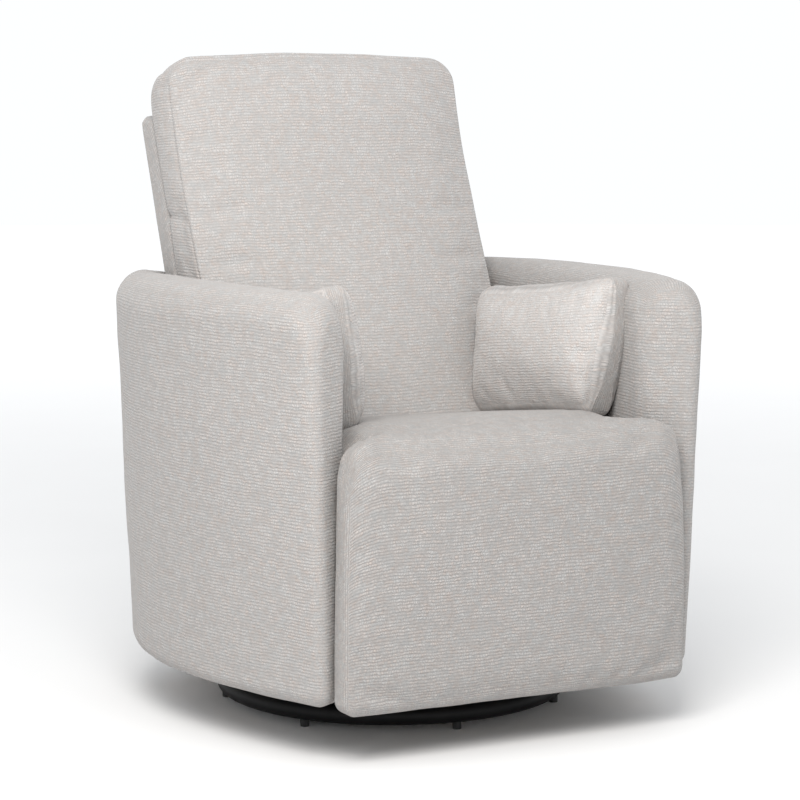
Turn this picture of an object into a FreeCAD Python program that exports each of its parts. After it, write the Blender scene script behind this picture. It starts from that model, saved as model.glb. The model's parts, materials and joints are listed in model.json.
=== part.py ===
import FreeCAD, Part
import math
import os

import Sketcher

# Swivel glider recliner with a round steel base. Millimetres, +Z up, front towards -Y.
# The origin is the point of the floor under the swivel axis.
#
# Six groups of pieces move on each other:
#   base       ring, spider and fixed half of the swivel bearing, standing on the floor
#   turntable  turning plate and the two posts that the glider links hang from
#   links      four equal swing links, which carry the chair as a parallelogram
#   carriage   rails and barrel shell
#   seat       mechanism plates on rollers, seat frame, cushion and loose pillows
#   recliner   back, drive rods and the linkage of the footrest, all carried by the seat

doc = FreeCAD.newDocument("glider_chair")
sheet = doc.addObject("Spreadsheet::Sheet", "Dims")

DIMENSIONS = [
    # base ring and swivel
    ("ring_radius", 264), ("ring_tube_radius", 14), ("ring_level", 24),
    ("foot_radius", 6.5), ("foot_height", 14), ("foot_count", 7), ("foot_angle", 162),
    ("spider_width", 44), ("spider_level", 20), ("spider_thickness", 8), ("hub_radius", 82),
    ("stud_radius", 12), ("stud_top", 60), ("race_radius", 76), ("race_thickness", 5),
    ("ball_radius", 4), ("ball_circle", 58), ("ball_count", 18), ("ball_gap", 0.1),
    ("nut_radius", 20), ("nut_height", 9), ("nut_gap", 0.5),
    ("running_gap", 0.05),
    # turntable and glider links
    ("plate_half_width", 196), ("plate_half_depth", 120), ("plate_thickness", 5),
    ("plate_hole_radius", 32),
    ("post_inner", 196), ("post_thickness", 5), ("post_half_depth", 126), ("post_top", 251),
    ("post_flare_height", 40), ("post_flare_width", 26), ("post_corner", 12),
    ("hanger_pin_length", 13), ("pin_head_height", 2), ("pin_head_lip", 3),
    ("link_inner", 203), ("link_thickness", 4), ("link_round", 12), ("link_length", 130),
    ("glide_pin_radius", 6), ("glide_pin_y", 110), ("hanger_level", 235),
    # carriage
    ("rail_inner", 211), ("rail_thickness", 5), ("rail_front_reach", 214),
    ("rail_low", 88), ("rail_height", 34),
    ("cross_tube_radius", 10), ("cross_tube_y", 190),
    ("mech_inner", 216), ("mech_thickness", 5),
    ("carriage_pin_start", 202), ("carriage_pin_end", 217),
    ("mech_low", 124), ("mech_front", -190), ("mech_back", 120), ("mech_top", 322),
    ("mech_ear_level", 200), ("mech_ear_half", 24), ("mech_ear_top", 22),
    ("roller_front_y", -60), ("roller_rear_y", 100), ("bolt_front_y", -60), ("bolt_rear_y", 40),
    ("bolt_level", 295), ("bolt_grip", 25),
    ("recline_pivot_y", 100), ("recline_pivot_z", 345), ("recline_pin_radius", 7),
    ("roller_radius", 9), ("roller_width", 4), ("roller_axle_radius", 3), ("roller_gap", 0.1),
    ("bolt_radius", 4), ("bolt_head_radius", 7), ("bolt_head_height", 3),
    # seat
    ("seat_front", -334), ("seat_back", 46), ("seat_half_width", 237),
    ("seat_low", 330.5), ("seat_crown", 466), ("seat_rear_top", 430), ("seat_edge_radius", 20),
    ("timber_low", 262), ("timber_height", 63), ("timber_width", 26), ("timber_front", -300),
    ("timber_back", 150), ("spring_wire_radius", 2), ("spring_pitch", 30), ("spring_reach", 20),
    ("spring_count", 4), ("spring_spacing", 92), ("spring_end_gap", 14), ("seat_brow", 60),
    # footrest
    ("footrest_width", 570), ("footrest_front", -426), ("footrest_low", 77),
    ("footrest_top", 468), ("footrest_pad_back", -378.3), ("footrest_nose_back", -336),
    ("footrest_nose_low", 430), ("footrest_edge_radius", 22), ("board_thickness", 12),
    ("board_half_width", 255), ("board_low", 86), ("board_high", 425),
    ("pivot_a_y", -165), ("pivot_a_z", 305), ("pivot_b_y", -145), ("pivot_b_z", 100),
    ("pivot_c_y", -345), ("pivot_c_z", 245), ("lever_round", 12), ("lever_thickness", 4),
    ("lever_pin_radius", 5), ("rear_lever_inner", 223), ("front_lever_inner", 229),
    ("footrest_shaft_radius", 8), ("lug_round", 8), ("soft_gap", 0.3),
    ("bracket_half_height", 40), ("bracket_nose_reach", 12), ("bracket_nose_half", 16),
    ("pivot_pin_length", 12.5), ("knee_pin_length", 12), ("shaft_end", 12), ("nose_root", 5),
    # drive rods between the back and the footrest
    ("rod_inner", 229), ("rod_thickness", 3), ("rod_pin_radius", 4), ("rod_slot_clearance", 1.2),
    ("back_lever", 90), ("lug_lever", 19), ("lug_angle", 47.5), ("rod_half_height", 9),
    ("rod_end_half", 16), ("rod_end_length", 15), ("rod_shoulder", 12), ("rod_tail_slot", 6),
    ("lug_end_low", 19), ("tail_end_low", 12), ("tail_end_high", 24),
    ("lug_pin_length", 6.5), ("tail_pin_length", 5.5),
    # barrel shell
    ("barrel_half_width", 424.7), ("barrel_widest_y", -28.4), ("barrel_back_reach", 458),
    ("barrel_back_power", 2.3), ("barrel_front_reach", 768), ("barrel_front_power", 1.4876),
    ("arm_front", -400), ("well_front_x", 242), ("well_front_y", -343), ("well_middle_x", 270),
    ("well_middle_y", -110), ("well_half_width", 292), ("well_widest_y", 100),
    ("well_back_reach", 272), ("well_back_power", 3.5), ("arm_low", 83), ("arm_top", 668),
    ("shell_taper", 0.0386), ("shell_bottom_round", 22), ("shell_top_round", 12),
    ("shell_seam_x", 255), ("shell_seam_y", 120),
    ("arm_frame_inner", 298), ("arm_frame_thickness", 22), ("arm_frame_front", -290),
    ("arm_frame_back", 230), ("arm_frame_top", 560), ("arm_frame_member", 36),
    ("arm_strap_thickness", 5), ("arm_strap_front", 10), ("arm_strap_length", 120),
    ("rear_rail_width", 24), ("rear_rail_height", 40),
    # back, in its own leaning frame: along the slope, and square to it
    ("back_lean", 21.55), ("back_foot_y", 120), ("back_foot_z", 360),
    ("slab_low", 12), ("slab_top", 586), ("slab_thickness", 51),
    ("slab_half_width", 262), ("slab_round", 20),
    ("back_cushion_low", 402), ("back_cushion_top", 1010), ("back_cushion_half_width", 262),
    ("back_timber_thickness", 22), ("back_timber_width", 40), ("back_timber_depth", 14),
    ("back_frame_half", 235), ("back_frame_top", 545), ("back_bracket_inner", 223),
    ("back_bracket_thickness", 5), ("recline_pin_start", 214), ("recline_pin_length", 15),
    ("bracket_low_level", 364), ("bracket_top_level", 520), ("bracket_front_level", 398),
    ("bracket_front_depth", 3), ("cushion_base_y", 48), ("cushion_rear_drop", 60),
    ("cushion_rear_shoulder", 20),
    # loose pillows
    ("pillow_length", 345), ("pillow_height", 200), ("pillow_thickness", 66),
    ("pillow_level", 454), ("pillow_x", 196), ("pillow_y", -121), ("pillow_pitch", -6),
    ("pillow_yaw", 4), ("pillow_round", 32),
]

for row, (alias, number) in enumerate(DIMENSIONS, start=1):
    sheet.set("A%d" % row, alias)
    sheet.set("B%d" % row, str(number))
    sheet.setAlias("B%d" % row, alias)
doc.recompute()

X_AXIS = FreeCAD.Vector(1, 0, 0)
Z_AXIS = FreeCAD.Vector(0, 0, 1)
SIDES = (("left", -1), ("right", 1))
nodes = []


def dim(alias):
    """Value of one driving dimension."""
    return float(sheet.get(alias))


def keep(piece, name):
    """Registers a finished sub-part under the name of its node."""
    piece.Label = name
    nodes.append(piece)
    return piece


def bind(piece, **sizes):
    """Binds properties of a piece to expressions on the sheet."""
    for name, expression in sizes.items():
        piece.setExpression(name, expression)


def place(piece, spot, axis=Z_AXIS, angle=0):
    piece.Placement = FreeCAD.Placement(FreeCAD.Vector(*spot), FreeCAD.Rotation(axis, angle))
    return piece


def make_box(name, spot, length, width, height):
    """Box from its lowest corner; the three sizes are expressions."""
    piece = doc.addObject("Part::Box", name)
    bind(piece, Length=length, Width=width, Height=height)
    return place(piece, spot)


def make_cylinder(name, spot, radius, height):
    piece = doc.addObject("Part::Cylinder", name)
    bind(piece, Radius=radius, Height=height)
    return place(piece, spot)


def make_cross_pin(name, start, y, z, radius, length):
    """Cylinder along +X from start."""
    piece = make_cylinder(name, (0, 0, 0), radius, length)
    return place(piece, (start, y, z), FreeCAD.Vector(0, 1, 0), 90)


def make_cut(name, base, tool):
    piece = doc.addObject("Part::Cut", name)
    piece.Base = base
    piece.Tool = tool
    return piece


def make_fuse(name, shapes):
    piece = doc.addObject("Part::MultiFuse", name)
    piece.Shapes = shapes
    piece.Refine = True
    return piece


def make_group(name, pieces):
    """Several separate solids that share one node."""
    piece = doc.addObject("Part::Compound", name)
    piece.Links = pieces
    return piece


def inner_face(side, inner, thickness):
    """Lowest x of a plate on the left (-1) or right (+1) side."""
    return inner if side > 0 else -(inner + thickness)


def vec(y, z):
    """Sketch point of the YZ plane."""
    return FreeCAD.Vector(y, z, 0)


def polygon_edges(points):
    return [Part.LineSegment(vec(*points[i - 1]), vec(*points[i])) for i in range(len(points))]


def bar_edges(start, end, radius):
    """Outline of a flat bar with full round ends about two points."""
    along = vec(*end) - vec(*start)
    along.normalize()
    across = FreeCAD.Vector(-along.y, along.x, 0) * radius
    tip = along * radius
    first, last = vec(*start), vec(*end)
    return [
        Part.LineSegment(first + across, last + across),
        Part.Arc(last + across, last + tip, last - across),
        Part.LineSegment(last - across, first - across),
        Part.Arc(first - across, first - tip, first + across),
    ]


def slot_edges(y, low, high, radius):
    return bar_edges((y, low), (y, high), radius)


def make_plate(name, side, inner, thickness, outline, holes=(), slots=()):
    """Flat plate in a YZ plane. A hole is (y, z, radius expression)."""
    body = doc.addObject("PartDesign::Body", name)
    plane = [f for f in body.Origin.OriginFeatures if f.Role == "YZ_Plane"][0]
    sketch = body.newObject("Sketcher::SketchObject", name + "_outline")
    sketch.AttachmentSupport = [(plane, "")]
    sketch.MapMode = "FlatFace"
    for edge in outline:
        sketch.addGeometry(edge, False)
    for edges in slots:
        for edge in edges:
            sketch.addGeometry(edge, False)
    for y, z, radius in holes:
        circle = Part.Circle(vec(y, z), Z_AXIS, 5)
        index = sketch.addGeometry(circle, False)
        number = sketch.addConstraint(Sketcher.Constraint("Radius", index, 5))
        sketch.setExpression("Constraints[%d]" % number, radius)
    pad = body.newObject("PartDesign::Pad", name + "_pad")
    pad.Profile = sketch
    pad.setExpression("Length", "Dims." + thickness)
    body.Placement.Base = FreeCAD.Vector(inner_face(side, dim(inner), dim(thickness)), 0, 0)
    return body


def make_prism(name, half_width, points, rounding=None, rounded=()):
    """Prism along X from a YZ outline; rounded lists the outline's corners that get a fillet."""
    body = doc.addObject("PartDesign::Body", name)
    plane = [f for f in body.Origin.OriginFeatures if f.Role == "YZ_Plane"][0]
    sketch = body.newObject("Sketcher::SketchObject", name + "_outline")
    sketch.AttachmentSupport = [(plane, "")]
    sketch.MapMode = "FlatFace"
    for edge in polygon_edges(points):
        sketch.addGeometry(edge, False)
    pad = body.newObject("PartDesign::Pad", name + "_pad")
    pad.Profile = sketch
    pad.Midplane = True
    pad.setExpression("Length", "2 * Dims." + half_width)
    doc.recompute()
    if rounding:
        edges = []
        for number, edge in enumerate(pad.Shape.Edges, start=1):
            middle = edge.CenterOfMass
            for y, z in rounded:
                if math.hypot(middle.y - y, middle.z - z) < 0.01:
                    edges.append("Edge%d" % number)
        fillet = body.newObject("PartDesign::Fillet", name + "_round")
        fillet.Base = (pad, edges)
        fillet.setExpression("Radius", "Dims." + rounding)
        body.Tip = fillet
    return body


# ---------------------------------------------------------------- base and swivel

def build_base():
    ring = doc.addObject("Part::Torus", "base_ring")
    bind(ring, Radius1="Dims.ring_radius", Radius2="Dims.ring_tube_radius")
    keep(place(ring, (0, 0, dim("ring_level"))), "base_ring")

    feet = []
    for index in range(int(dim("foot_count"))):
        angle = math.radians(dim("foot_angle") + 360 / dim("foot_count") * index)
        spot = (dim("ring_radius") * math.cos(angle), dim("ring_radius") * math.sin(angle), 0)
        feet.append(make_cylinder("foot_blank", spot, "Dims.foot_radius", "Dims.foot_height"))
    keep(make_cut("feet", make_group("feet_blank", feet), ring), "base_feet")

    bars = []
    for angle in (45, 135):
        bar = make_box("spider_bar", (0, 0, 0), "2 * Dims.ring_radius", "Dims.spider_width",
                       "Dims.spider_thickness")
        corner = FreeCAD.Vector(-dim("ring_radius"), -dim("spider_width") / 2, dim("spider_level"))
        turn = FreeCAD.Rotation(Z_AXIS, angle)
        bar.Placement = FreeCAD.Placement(turn.multVec(corner), turn)
        bars.append(bar)
    bars.append(make_cylinder("spider_hub", (0, 0, dim("spider_level")), "Dims.hub_radius",
                              "Dims.spider_thickness"))
    keep(make_cut("spider", make_fuse("spider_blank", bars), ring), "base_spider")


def ring_washer(name, level, outer, inner, thickness):
    """Flat ring on the swivel axis."""
    disc = make_cylinder(name + "_disc", (0, 0, level), outer, thickness)
    hole = make_cylinder(name + "_hole", (0, 0, level), inner, thickness)
    return make_cut(name, disc, hole)


def build_swivel():
    floor = dim("spider_level") + dim("spider_thickness")
    keep(make_cylinder("stud", (0, 0, floor), "Dims.stud_radius",
                       "Dims.stud_top - Dims.spider_level - Dims.spider_thickness"), "swivel_stud")
    keep(ring_washer("lower_race", floor, "Dims.race_radius", "Dims.stud_radius",
                     "Dims.race_thickness"), "swivel_lower_race")
    balls = []
    level = floor + dim("race_thickness") + dim("ball_radius")
    for index in range(int(dim("ball_count"))):
        angle = 2 * math.pi * index / dim("ball_count")
        ball = doc.addObject("Part::Sphere", "ball")
        bind(ball, Radius="Dims.ball_radius")
        place(ball, (dim("ball_circle") * math.cos(angle), dim("ball_circle") * math.sin(angle), level))
        balls.append(ball)
    keep(make_group("balls", balls), "swivel_balls")
    race_level = level + dim("ball_radius") + dim("ball_gap")
    keep(ring_washer("upper_race", race_level, "Dims.race_radius",
                     "Dims.stud_radius + Dims.running_gap", "Dims.race_thickness"),
         "swivel_upper_race")
    deck = race_level + dim("race_thickness")
    nut = doc.addObject("Part::Prism", "nut_blank")
    nut.Polygon = 6
    bind(nut, Circumradius="Dims.nut_radius", Height="Dims.nut_height")
    place(nut, (0, 0, deck + dim("nut_gap")))
    bore = make_cylinder("nut_bore", (0, 0, deck), "Dims.stud_radius", "Dims.stud_top")
    keep(make_cut("nut", nut, bore), "swivel_nut")
    return deck


# ---------------------------------------------------------------- turntable and links

def build_turntable(deck):
    slab = make_box("deck_blank", (-dim("plate_half_width"), -dim("plate_half_depth"), deck),
                    "2 * Dims.plate_half_width", "2 * Dims.plate_half_depth",
                    "Dims.plate_thickness")
    hole = make_cylinder("deck_hole", (0, 0, deck), "Dims.plate_hole_radius", "Dims.plate_thickness")
    keep(make_cut("deck", slab, hole), "turntable_plate")

    half, top = dim("post_half_depth"), dim("post_top")
    cut, foot, flare = dim("post_corner"), half - dim("post_flare_width"), deck + dim("post_flare_height")
    outline = [(-foot, deck), (foot, deck), (half, flare), (half, top - cut),
               (half - cut, top), (cut - half, top), (-half, top - cut), (-half, flare)]
    pin_y, pin_z = dim("glide_pin_y"), dim("hanger_level")
    holes = [(sign * pin_y, pin_z, "Dims.glide_pin_radius") for sign in (-1, 1)]
    pins = []
    for word, side in SIDES:
        post = make_plate("post_" + word, side, "post_inner", "post_thickness",
                          polygon_edges(outline), holes)
        keep(post, "glider_post_" + word)
        for sign in (-1, 1):
            shank_start = inner_face(side, dim("post_inner"), dim("hanger_pin_length"))
            shank = make_cross_pin("hanger_shank", shank_start, sign * pin_y, pin_z,
                                   "Dims.glide_pin_radius", "Dims.hanger_pin_length")
            head_start = inner_face(side, dim("post_inner") + dim("hanger_pin_length"),
                                    dim("pin_head_height"))
            head = make_cross_pin("hanger_head", head_start, sign * pin_y, pin_z,
                                  "Dims.glide_pin_radius + Dims.pin_head_lip", "Dims.pin_head_height")
            pins.append(make_fuse("hanger_pin", [shank, head]))
    keep(make_group("hanger_pins", pins), "glider_hanger_pins")


def build_links():
    low = dim("hanger_level") - dim("link_length")
    for place_word, sign in (("front", -1), ("rear", 1)):
        y = sign * dim("glide_pin_y")
        holes = [(y, z, "Dims.glide_pin_radius + Dims.running_gap")
                 for z in (low, dim("hanger_level"))]
        name = "glider_link_" + place_word
        pair = []
        for word, side in SIDES:
            edges = bar_edges((y, low), (y, dim("hanger_level")), dim("link_round"))
            pair.append(make_plate(name + "_" + word, side, "link_inner", "link_thickness", edges,
                                   holes))
        keep(make_group(name + "_pair", pair), "glider_links_" + place_word)


# ---------------------------------------------------------------- carriage

def build_carriage():
    """Rails that hang from the glider links, with their pins and cross tubes."""
    low_z = dim("hanger_level") - dim("link_length")
    pin_y = dim("glide_pin_y")
    front, rear = -dim("rail_front_reach"), dim("arm_frame_back") - dim("rear_rail_width")
    bottom, top = dim("rail_low"), dim("rail_low") + dim("rail_height")
    outline = [(front, bottom), (rear, bottom), (rear, top), (front, top)]
    holes = [(sign * pin_y, low_z, "Dims.glide_pin_radius") for sign in (-1, 1)]
    pins = []
    pin_start = dim("carriage_pin_start")
    pin_length = dim("carriage_pin_end") - pin_start
    for word, side in SIDES:
        rail = make_plate("rail_" + word, side, "rail_inner", "rail_thickness",
                          polygon_edges(outline), holes)
        keep(rail, "carriage_rail_" + word)
        for sign in (-1, 1):
            start = inner_face(side, pin_start, pin_length)
            pins.append(make_cross_pin("carriage_pin", start, sign * pin_y, low_z,
                                       "Dims.glide_pin_radius",
                                       "Dims.carriage_pin_end - Dims.carriage_pin_start"))
    keep(make_group("carriage_pin_set", pins), "carriage_pins")
    for word, sign in (("front", -1), ("rear", 1)):
        tube = make_cross_pin("tube_" + word, -dim("rail_inner"), sign * dim("cross_tube_y"), low_z,
                              "Dims.cross_tube_radius", "2 * Dims.rail_inner")
        keep(tube, "carriage_tube_" + word)


# ---------------------------------------------------------------- seat

def build_mechanism():
    """Side plates of the seat, the rollers they ride on and the bolts into the seat frame."""
    low, a_y, a_z = dim("mech_low"), dim("pivot_a_y"), dim("pivot_a_z")
    r_y, r_z = dim("recline_pivot_y"), dim("recline_pivot_z")
    axle_z = dim("rail_low") + dim("rail_height") + dim("roller_radius") + dim("roller_gap")
    axles = [(dim("roller_front_y"), axle_z), (dim("roller_rear_y"), axle_z)]
    bolt_spots = [(dim("bolt_front_y"), dim("bolt_level")), (dim("bolt_rear_y"), dim("bolt_level"))]
    front, back, shoulder = dim("mech_front"), dim("mech_back"), dim("mech_top")
    ear, ear_top = dim("mech_ear_half"), r_z + dim("mech_ear_top")
    outline = [(front, low), (back, low), (back + 6, dim("mech_ear_level")), (r_y + ear, r_z),
               (r_y + ear / 2, ear_top), (r_y - ear / 2, ear_top), (r_y - ear, r_z),
               (r_y - ear - 10, shoulder), (front, shoulder)]
    holes = [(a_y, a_z, "Dims.lever_pin_radius"), (r_y, r_z, "Dims.recline_pin_radius")]
    holes += [(y, z, "Dims.bolt_radius") for y, z in bolt_spots]
    holes += [(y, z, "Dims.roller_axle_radius") for y, z in axles]
    outer = dim("mech_inner") + dim("mech_thickness")
    grip = dim("bolt_grip")
    bolts, rollers = [], []
    for word, side in SIDES:
        plate = make_plate("mech_" + word, side, "mech_inner", "mech_thickness",
                           polygon_edges(outline), holes)
        keep(plate, "mechanism_plate_" + word)
        for y, z in bolt_spots:
            shank = make_cross_pin("bolt_shank", inner_face(side, outer - grip, grip), y, z,
                                   "Dims.bolt_radius", "Dims.bolt_grip")
            head = make_cross_pin("bolt_head",
                                  inner_face(side, outer, dim("bolt_head_height")), y, z,
                                  "Dims.bolt_head_radius", "Dims.bolt_head_height")
            bolts.append(make_fuse("bolt", [shank, head]))
        for y, z in axles:
            width = dim("roller_width")
            wheel = make_cross_pin("roller_wheel", inner_face(side, dim("mech_inner") - width, width),
                                   y, z, "Dims.roller_radius", "Dims.roller_width")
            axle = make_cross_pin("roller_axle", inner_face(side, dim("mech_inner") - width,
                                  width + dim("mech_thickness")), y, z,
                                  "Dims.roller_axle_radius", "Dims.roller_width + Dims.mech_thickness")
            rollers.append(make_fuse("roller", [wheel, axle]))
    keep(make_group("roller_set", rollers), "seat_rollers")
    return keep(make_group("bolt_set", bolts), "mechanism_bolts")


def build_seat_frame(bolts):
    low, width = dim("timber_low"), dim("timber_width")
    front, back = dim("timber_front"), dim("timber_back")
    outer = dim("mech_inner")
    for word, side in SIDES:
        rail = make_box("timber_" + word, (inner_face(side, outer - width, width), front, low),
                        "Dims.timber_width", "Dims.timber_back - Dims.timber_front",
                        "Dims.timber_height")
        keep(make_cut("seat_rail_" + word, rail, bolts), "seat_rail_" + word)
    span = "2 * (Dims.mech_inner - Dims.timber_width)"
    for word, y in (("front", front), ("rear", back - width)):
        rail = make_box("timber_" + word, (-(outer - width), y, low), span, "Dims.timber_width",
                        "Dims.timber_height")
        keep(rail, "seat_rail_" + word)


def spring_shape(x, front, back, level):
    """One sinuous spring: straight runs across the seat joined by half circles."""
    pitch, reach = dim("spring_pitch"), dim("spring_reach")
    rows = int((back - front) / pitch)
    edges = []
    side = 1
    for row in range(rows + 1):
        y = front + row * pitch
        edges.append(Part.makeLine((x - side * reach, y, level), (x + side * reach, y, level)))
        if row < rows:
            edges.append(Part.Arc(FreeCAD.Vector(x + side * reach, y, level),
                                  FreeCAD.Vector(x + side * (reach + pitch / 2), y + pitch / 2, level),
                                  FreeCAD.Vector(x + side * reach, y + pitch, level)).toShape())
        side = -side
    path = Part.Wire(edges)
    start = FreeCAD.Vector(x - reach, front, level)
    section = Part.Wire(Part.makeCircle(dim("spring_wire_radius"), start, X_AXIS))
    return path.makePipeShell([section], True, False)


def build_springs():
    level = dim("timber_low") + dim("timber_height") + dim("spring_wire_radius")
    count, spacing = int(dim("spring_count")), dim("spring_spacing")
    front = dim("timber_front") + dim("spring_end_gap")
    back = dim("timber_back") - dim("spring_end_gap")
    shapes = [spring_shape((index - (count - 1) / 2) * spacing, front, back, level)
              for index in range(count)]
    piece = doc.addObject("Part::Feature", "springs")
    piece.Shape = Part.makeCompound(shapes)
    keep(piece, "seat_springs")


def build_seat_cushion():
    front, back = dim("seat_front"), dim("seat_back")
    low, crown, rear = dim("seat_low"), dim("seat_crown"), dim("seat_rear_top")
    points = [(front, low), (back, low), (back, rear), (front + dim("seat_brow"), crown),
              (front, crown)]
    keep(make_prism("seat_pad", "seat_half_width", points, "seat_edge_radius", [(front, crown)]),
         "seat_cushion")


# ---------------------------------------------------------------- footrest and drive rods

def lug_point():
    """Where the drive rod's pin sits on the rear lever, seen from its own pivot."""
    angle = math.radians(dim("lug_angle"))
    return (dim("pivot_a_y") + dim("lug_lever") * math.sin(angle),
            dim("pivot_a_z") - dim("lug_lever") * math.cos(angle))


def pin_pair(name, inner, spot, radius, length):
    """The same pin on both sides of the chair, as one node; radius and length are aliases."""
    pins = [make_cross_pin(name + "_pin", inner_face(side, inner, dim(length)), spot[0], spot[1],
                           "Dims." + radius, "Dims." + length) for word, side in SIDES]
    return keep(make_group(name, pins), name + "s")


def build_footrest():
    a = (dim("pivot_a_y"), dim("pivot_a_z"))
    b = (dim("pivot_b_y"), dim("pivot_b_z"))
    c = (dim("pivot_c_y"), dim("pivot_c_z"))
    lug = lug_point()
    ring = dim("lever_round")
    running = "Dims.lever_pin_radius + Dims.running_gap"
    board_back = dim("footrest_pad_back") + dim("soft_gap") + dim("board_thickness")
    reach, tall, blunt = (dim("bracket_nose_reach"), dim("bracket_half_height"),
                          dim("bracket_nose_half"))
    brackets = []
    for word, side in SIDES:
        rear = make_plate("rear_lever_" + word, side, "rear_lever_inner", "lever_thickness",
                          bar_edges(a, b, ring), [a + (running,), b + ("Dims.lever_pin_radius",)])
        ear = make_plate("lever_ear_" + word, side, "rear_lever_inner", "lever_thickness",
                         bar_edges(a, lug, dim("lug_round")), [a + (running,)])
        keep(make_fuse("rear_lever_ear_" + word, [rear, ear]), "footrest_rear_lever_" + word)
        front = make_plate("front_lever_" + word, side, "front_lever_inner", "lever_thickness",
                           bar_edges(b, c, ring), [b + (running,), c + (running,)])
        keep(front, "footrest_front_lever_" + word)
        outline = [(board_back, c[1] - tall), (c[0] + reach / 2, c[1] - blunt),
                   (c[0] + reach, c[1] - reach / 2), (c[0] + reach, c[1] + reach / 2),
                   (c[0] + reach / 2, c[1] + blunt), (board_back, c[1] + tall)]
        bracket = make_plate("bracket_" + word, side, "rear_lever_inner", "lever_thickness",
                             polygon_edges(outline), [c + ("Dims.lever_pin_radius",)])
        brackets.append(bracket)
    keep(make_group("bracket_pair", brackets), "footrest_brackets")
    pin_pair("footrest_pivot_pin", dim("mech_inner"), a, "lever_pin_radius", "pivot_pin_length")
    pin_pair("footrest_knee_pin", dim("rear_lever_inner"), b, "lever_pin_radius", "knee_pin_length")
    tube = make_cross_pin("shaft_tube", -dim("rear_lever_inner"), c[0], c[1],
                          "Dims.footrest_shaft_radius", "2 * Dims.rear_lever_inner")
    core = make_cross_pin("shaft_core", -dim("rear_lever_inner") - dim("shaft_end"), c[0], c[1],
                          "Dims.lever_pin_radius", "2 * (Dims.rear_lever_inner + Dims.shaft_end)")
    keep(make_fuse("footrest_shaft_body", [tube, core]), "footrest_shaft")

    low, top = dim("footrest_low"), dim("footrest_top")
    front, back = dim("footrest_front"), dim("footrest_pad_back")
    board = make_box("board", (-dim("board_half_width"), back + dim("soft_gap"), dim("board_low")),
                     "2 * Dims.board_half_width", "Dims.board_thickness",
                     "Dims.board_high - Dims.board_low")
    keep(board, "footrest_board")
    panel = make_prism("panel", "footrest_width / 2",
                       [(front, low), (back, low), (back, top), (front, top)],
                       "footrest_edge_radius", [(front, low), (front, top)])
    root, nose_back, nose_low = back - dim("nose_root"), dim("footrest_nose_back"), dim("footrest_nose_low")
    nose = make_prism("nose", "seat_half_width", [(root, nose_low), (nose_back, nose_low),
                                                  (nose_back, top), (root, top)])
    keep(make_fuse("panel_and_nose", [panel, nose]), "footrest_pad")


def build_drive_rods():
    lug = lug_point()
    tail = (dim("recline_pivot_y"), dim("recline_pivot_z") - dim("back_lever"))
    half, end, length = dim("rod_half_height"), dim("rod_end_half"), dim("rod_end_length")
    neck = length + dim("rod_shoulder")
    lug_floor, tail_floor = lug[1] - dim("lug_end_low"), tail[1] - dim("tail_end_low")
    tail_top = tail[1] + dim("tail_end_high")
    slot_round = dim("rod_pin_radius") + dim("rod_slot_clearance")
    lug_low = dim("pivot_a_z") - dim("lug_lever")
    outline = [(lug[0] - length, lug_floor), (lug[0] + length, lug_floor),
               (lug[0] + neck, lug[1] - half), (tail[0] - neck, tail[1] - half),
               (tail[0] - length, tail_floor), (tail[0] + length, tail_floor),
               (tail[0] + length, tail_top), (tail[0] - length, tail_top),
               (tail[0] - neck, tail[1] + half), (lug[0] + neck, lug[1] + half),
               (lug[0] + length, lug[1] + end), (lug[0] - length, lug[1] + end)]
    slots = [slot_edges(lug[0], lug_low, lug[1], slot_round),
             slot_edges(tail[0], tail[1], tail[1] + dim("rod_tail_slot"), slot_round)]
    for word, side in SIDES:
        rod = make_plate("rod_" + word, side, "rod_inner", "rod_thickness",
                         polygon_edges(outline), (), slots)
        keep(rod, "drive_rod_" + word)
    pin_pair("drive_lug_pin", dim("rear_lever_inner") + dim("lever_thickness"), lug,
             "rod_pin_radius", "lug_pin_length")
    pin_pair("drive_tail_pin", dim("back_bracket_inner") + dim("back_bracket_thickness"), tail,
             "rod_pin_radius", "tail_pin_length")


# ---------------------------------------------------------------- barrel shell

def barrel_point(angle, inset):
    """Plan outline of the barrel, moved inwards by inset; angle runs from the front to the back."""
    rear = angle >= 0
    power = dim("barrel_back_power") if rear else dim("barrel_front_power")
    reach = dim("barrel_back_reach") if rear else dim("barrel_front_reach")
    sign = 1 if rear else -1
    c, s = abs(math.cos(angle)), abs(math.sin(angle))
    half = dim("barrel_half_width")
    x = half * c ** (2 / power)
    y = sign * reach * s ** (2 / power)
    normal = FreeCAD.Vector((x / half) ** (power - 1) / half,
                            sign * abs(y / reach) ** (power - 1) / reach, 0)
    normal.normalize()
    return FreeCAD.Vector(x, y + dim("barrel_widest_y"), 0) - normal * inset


def barrel_angle(test, low, high):
    """Angle between low and high where test changes sign."""
    for _ in range(50):
        middle = (low + high) / 2
        if test(middle) > 0:
            low = middle
        else:
            high = middle
    return low


def well_point(angle, inset, shrink):
    """Plan outline of the rear half of the shell's inner face, moved into the wall by inset."""
    power, half = dim("well_back_power"), dim("well_half_width")
    reach = dim("well_back_reach") - shrink
    x = half * abs(math.cos(angle)) ** (2 / power)
    y = reach * math.sin(angle) ** (2 / power)
    normal = FreeCAD.Vector((x / half) ** (power - 1) / half, (y / reach) ** (power - 1) / reach, 0)
    normal.normalize()
    return FreeCAD.Vector(x, y + dim("well_widest_y"), 0) + normal * inset


def curve_through(half_points, level):
    """Curve through points of the right half and their mirror images, right to left."""
    row = [FreeCAD.Vector(p.x, p.y, level) for p in half_points]
    row += [FreeCAD.Vector(-p.x, p.y, level) for p in reversed(half_points[:-1])]
    curve = Part.BSplineCurve()
    curve.interpolate(row)
    return curve


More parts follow.
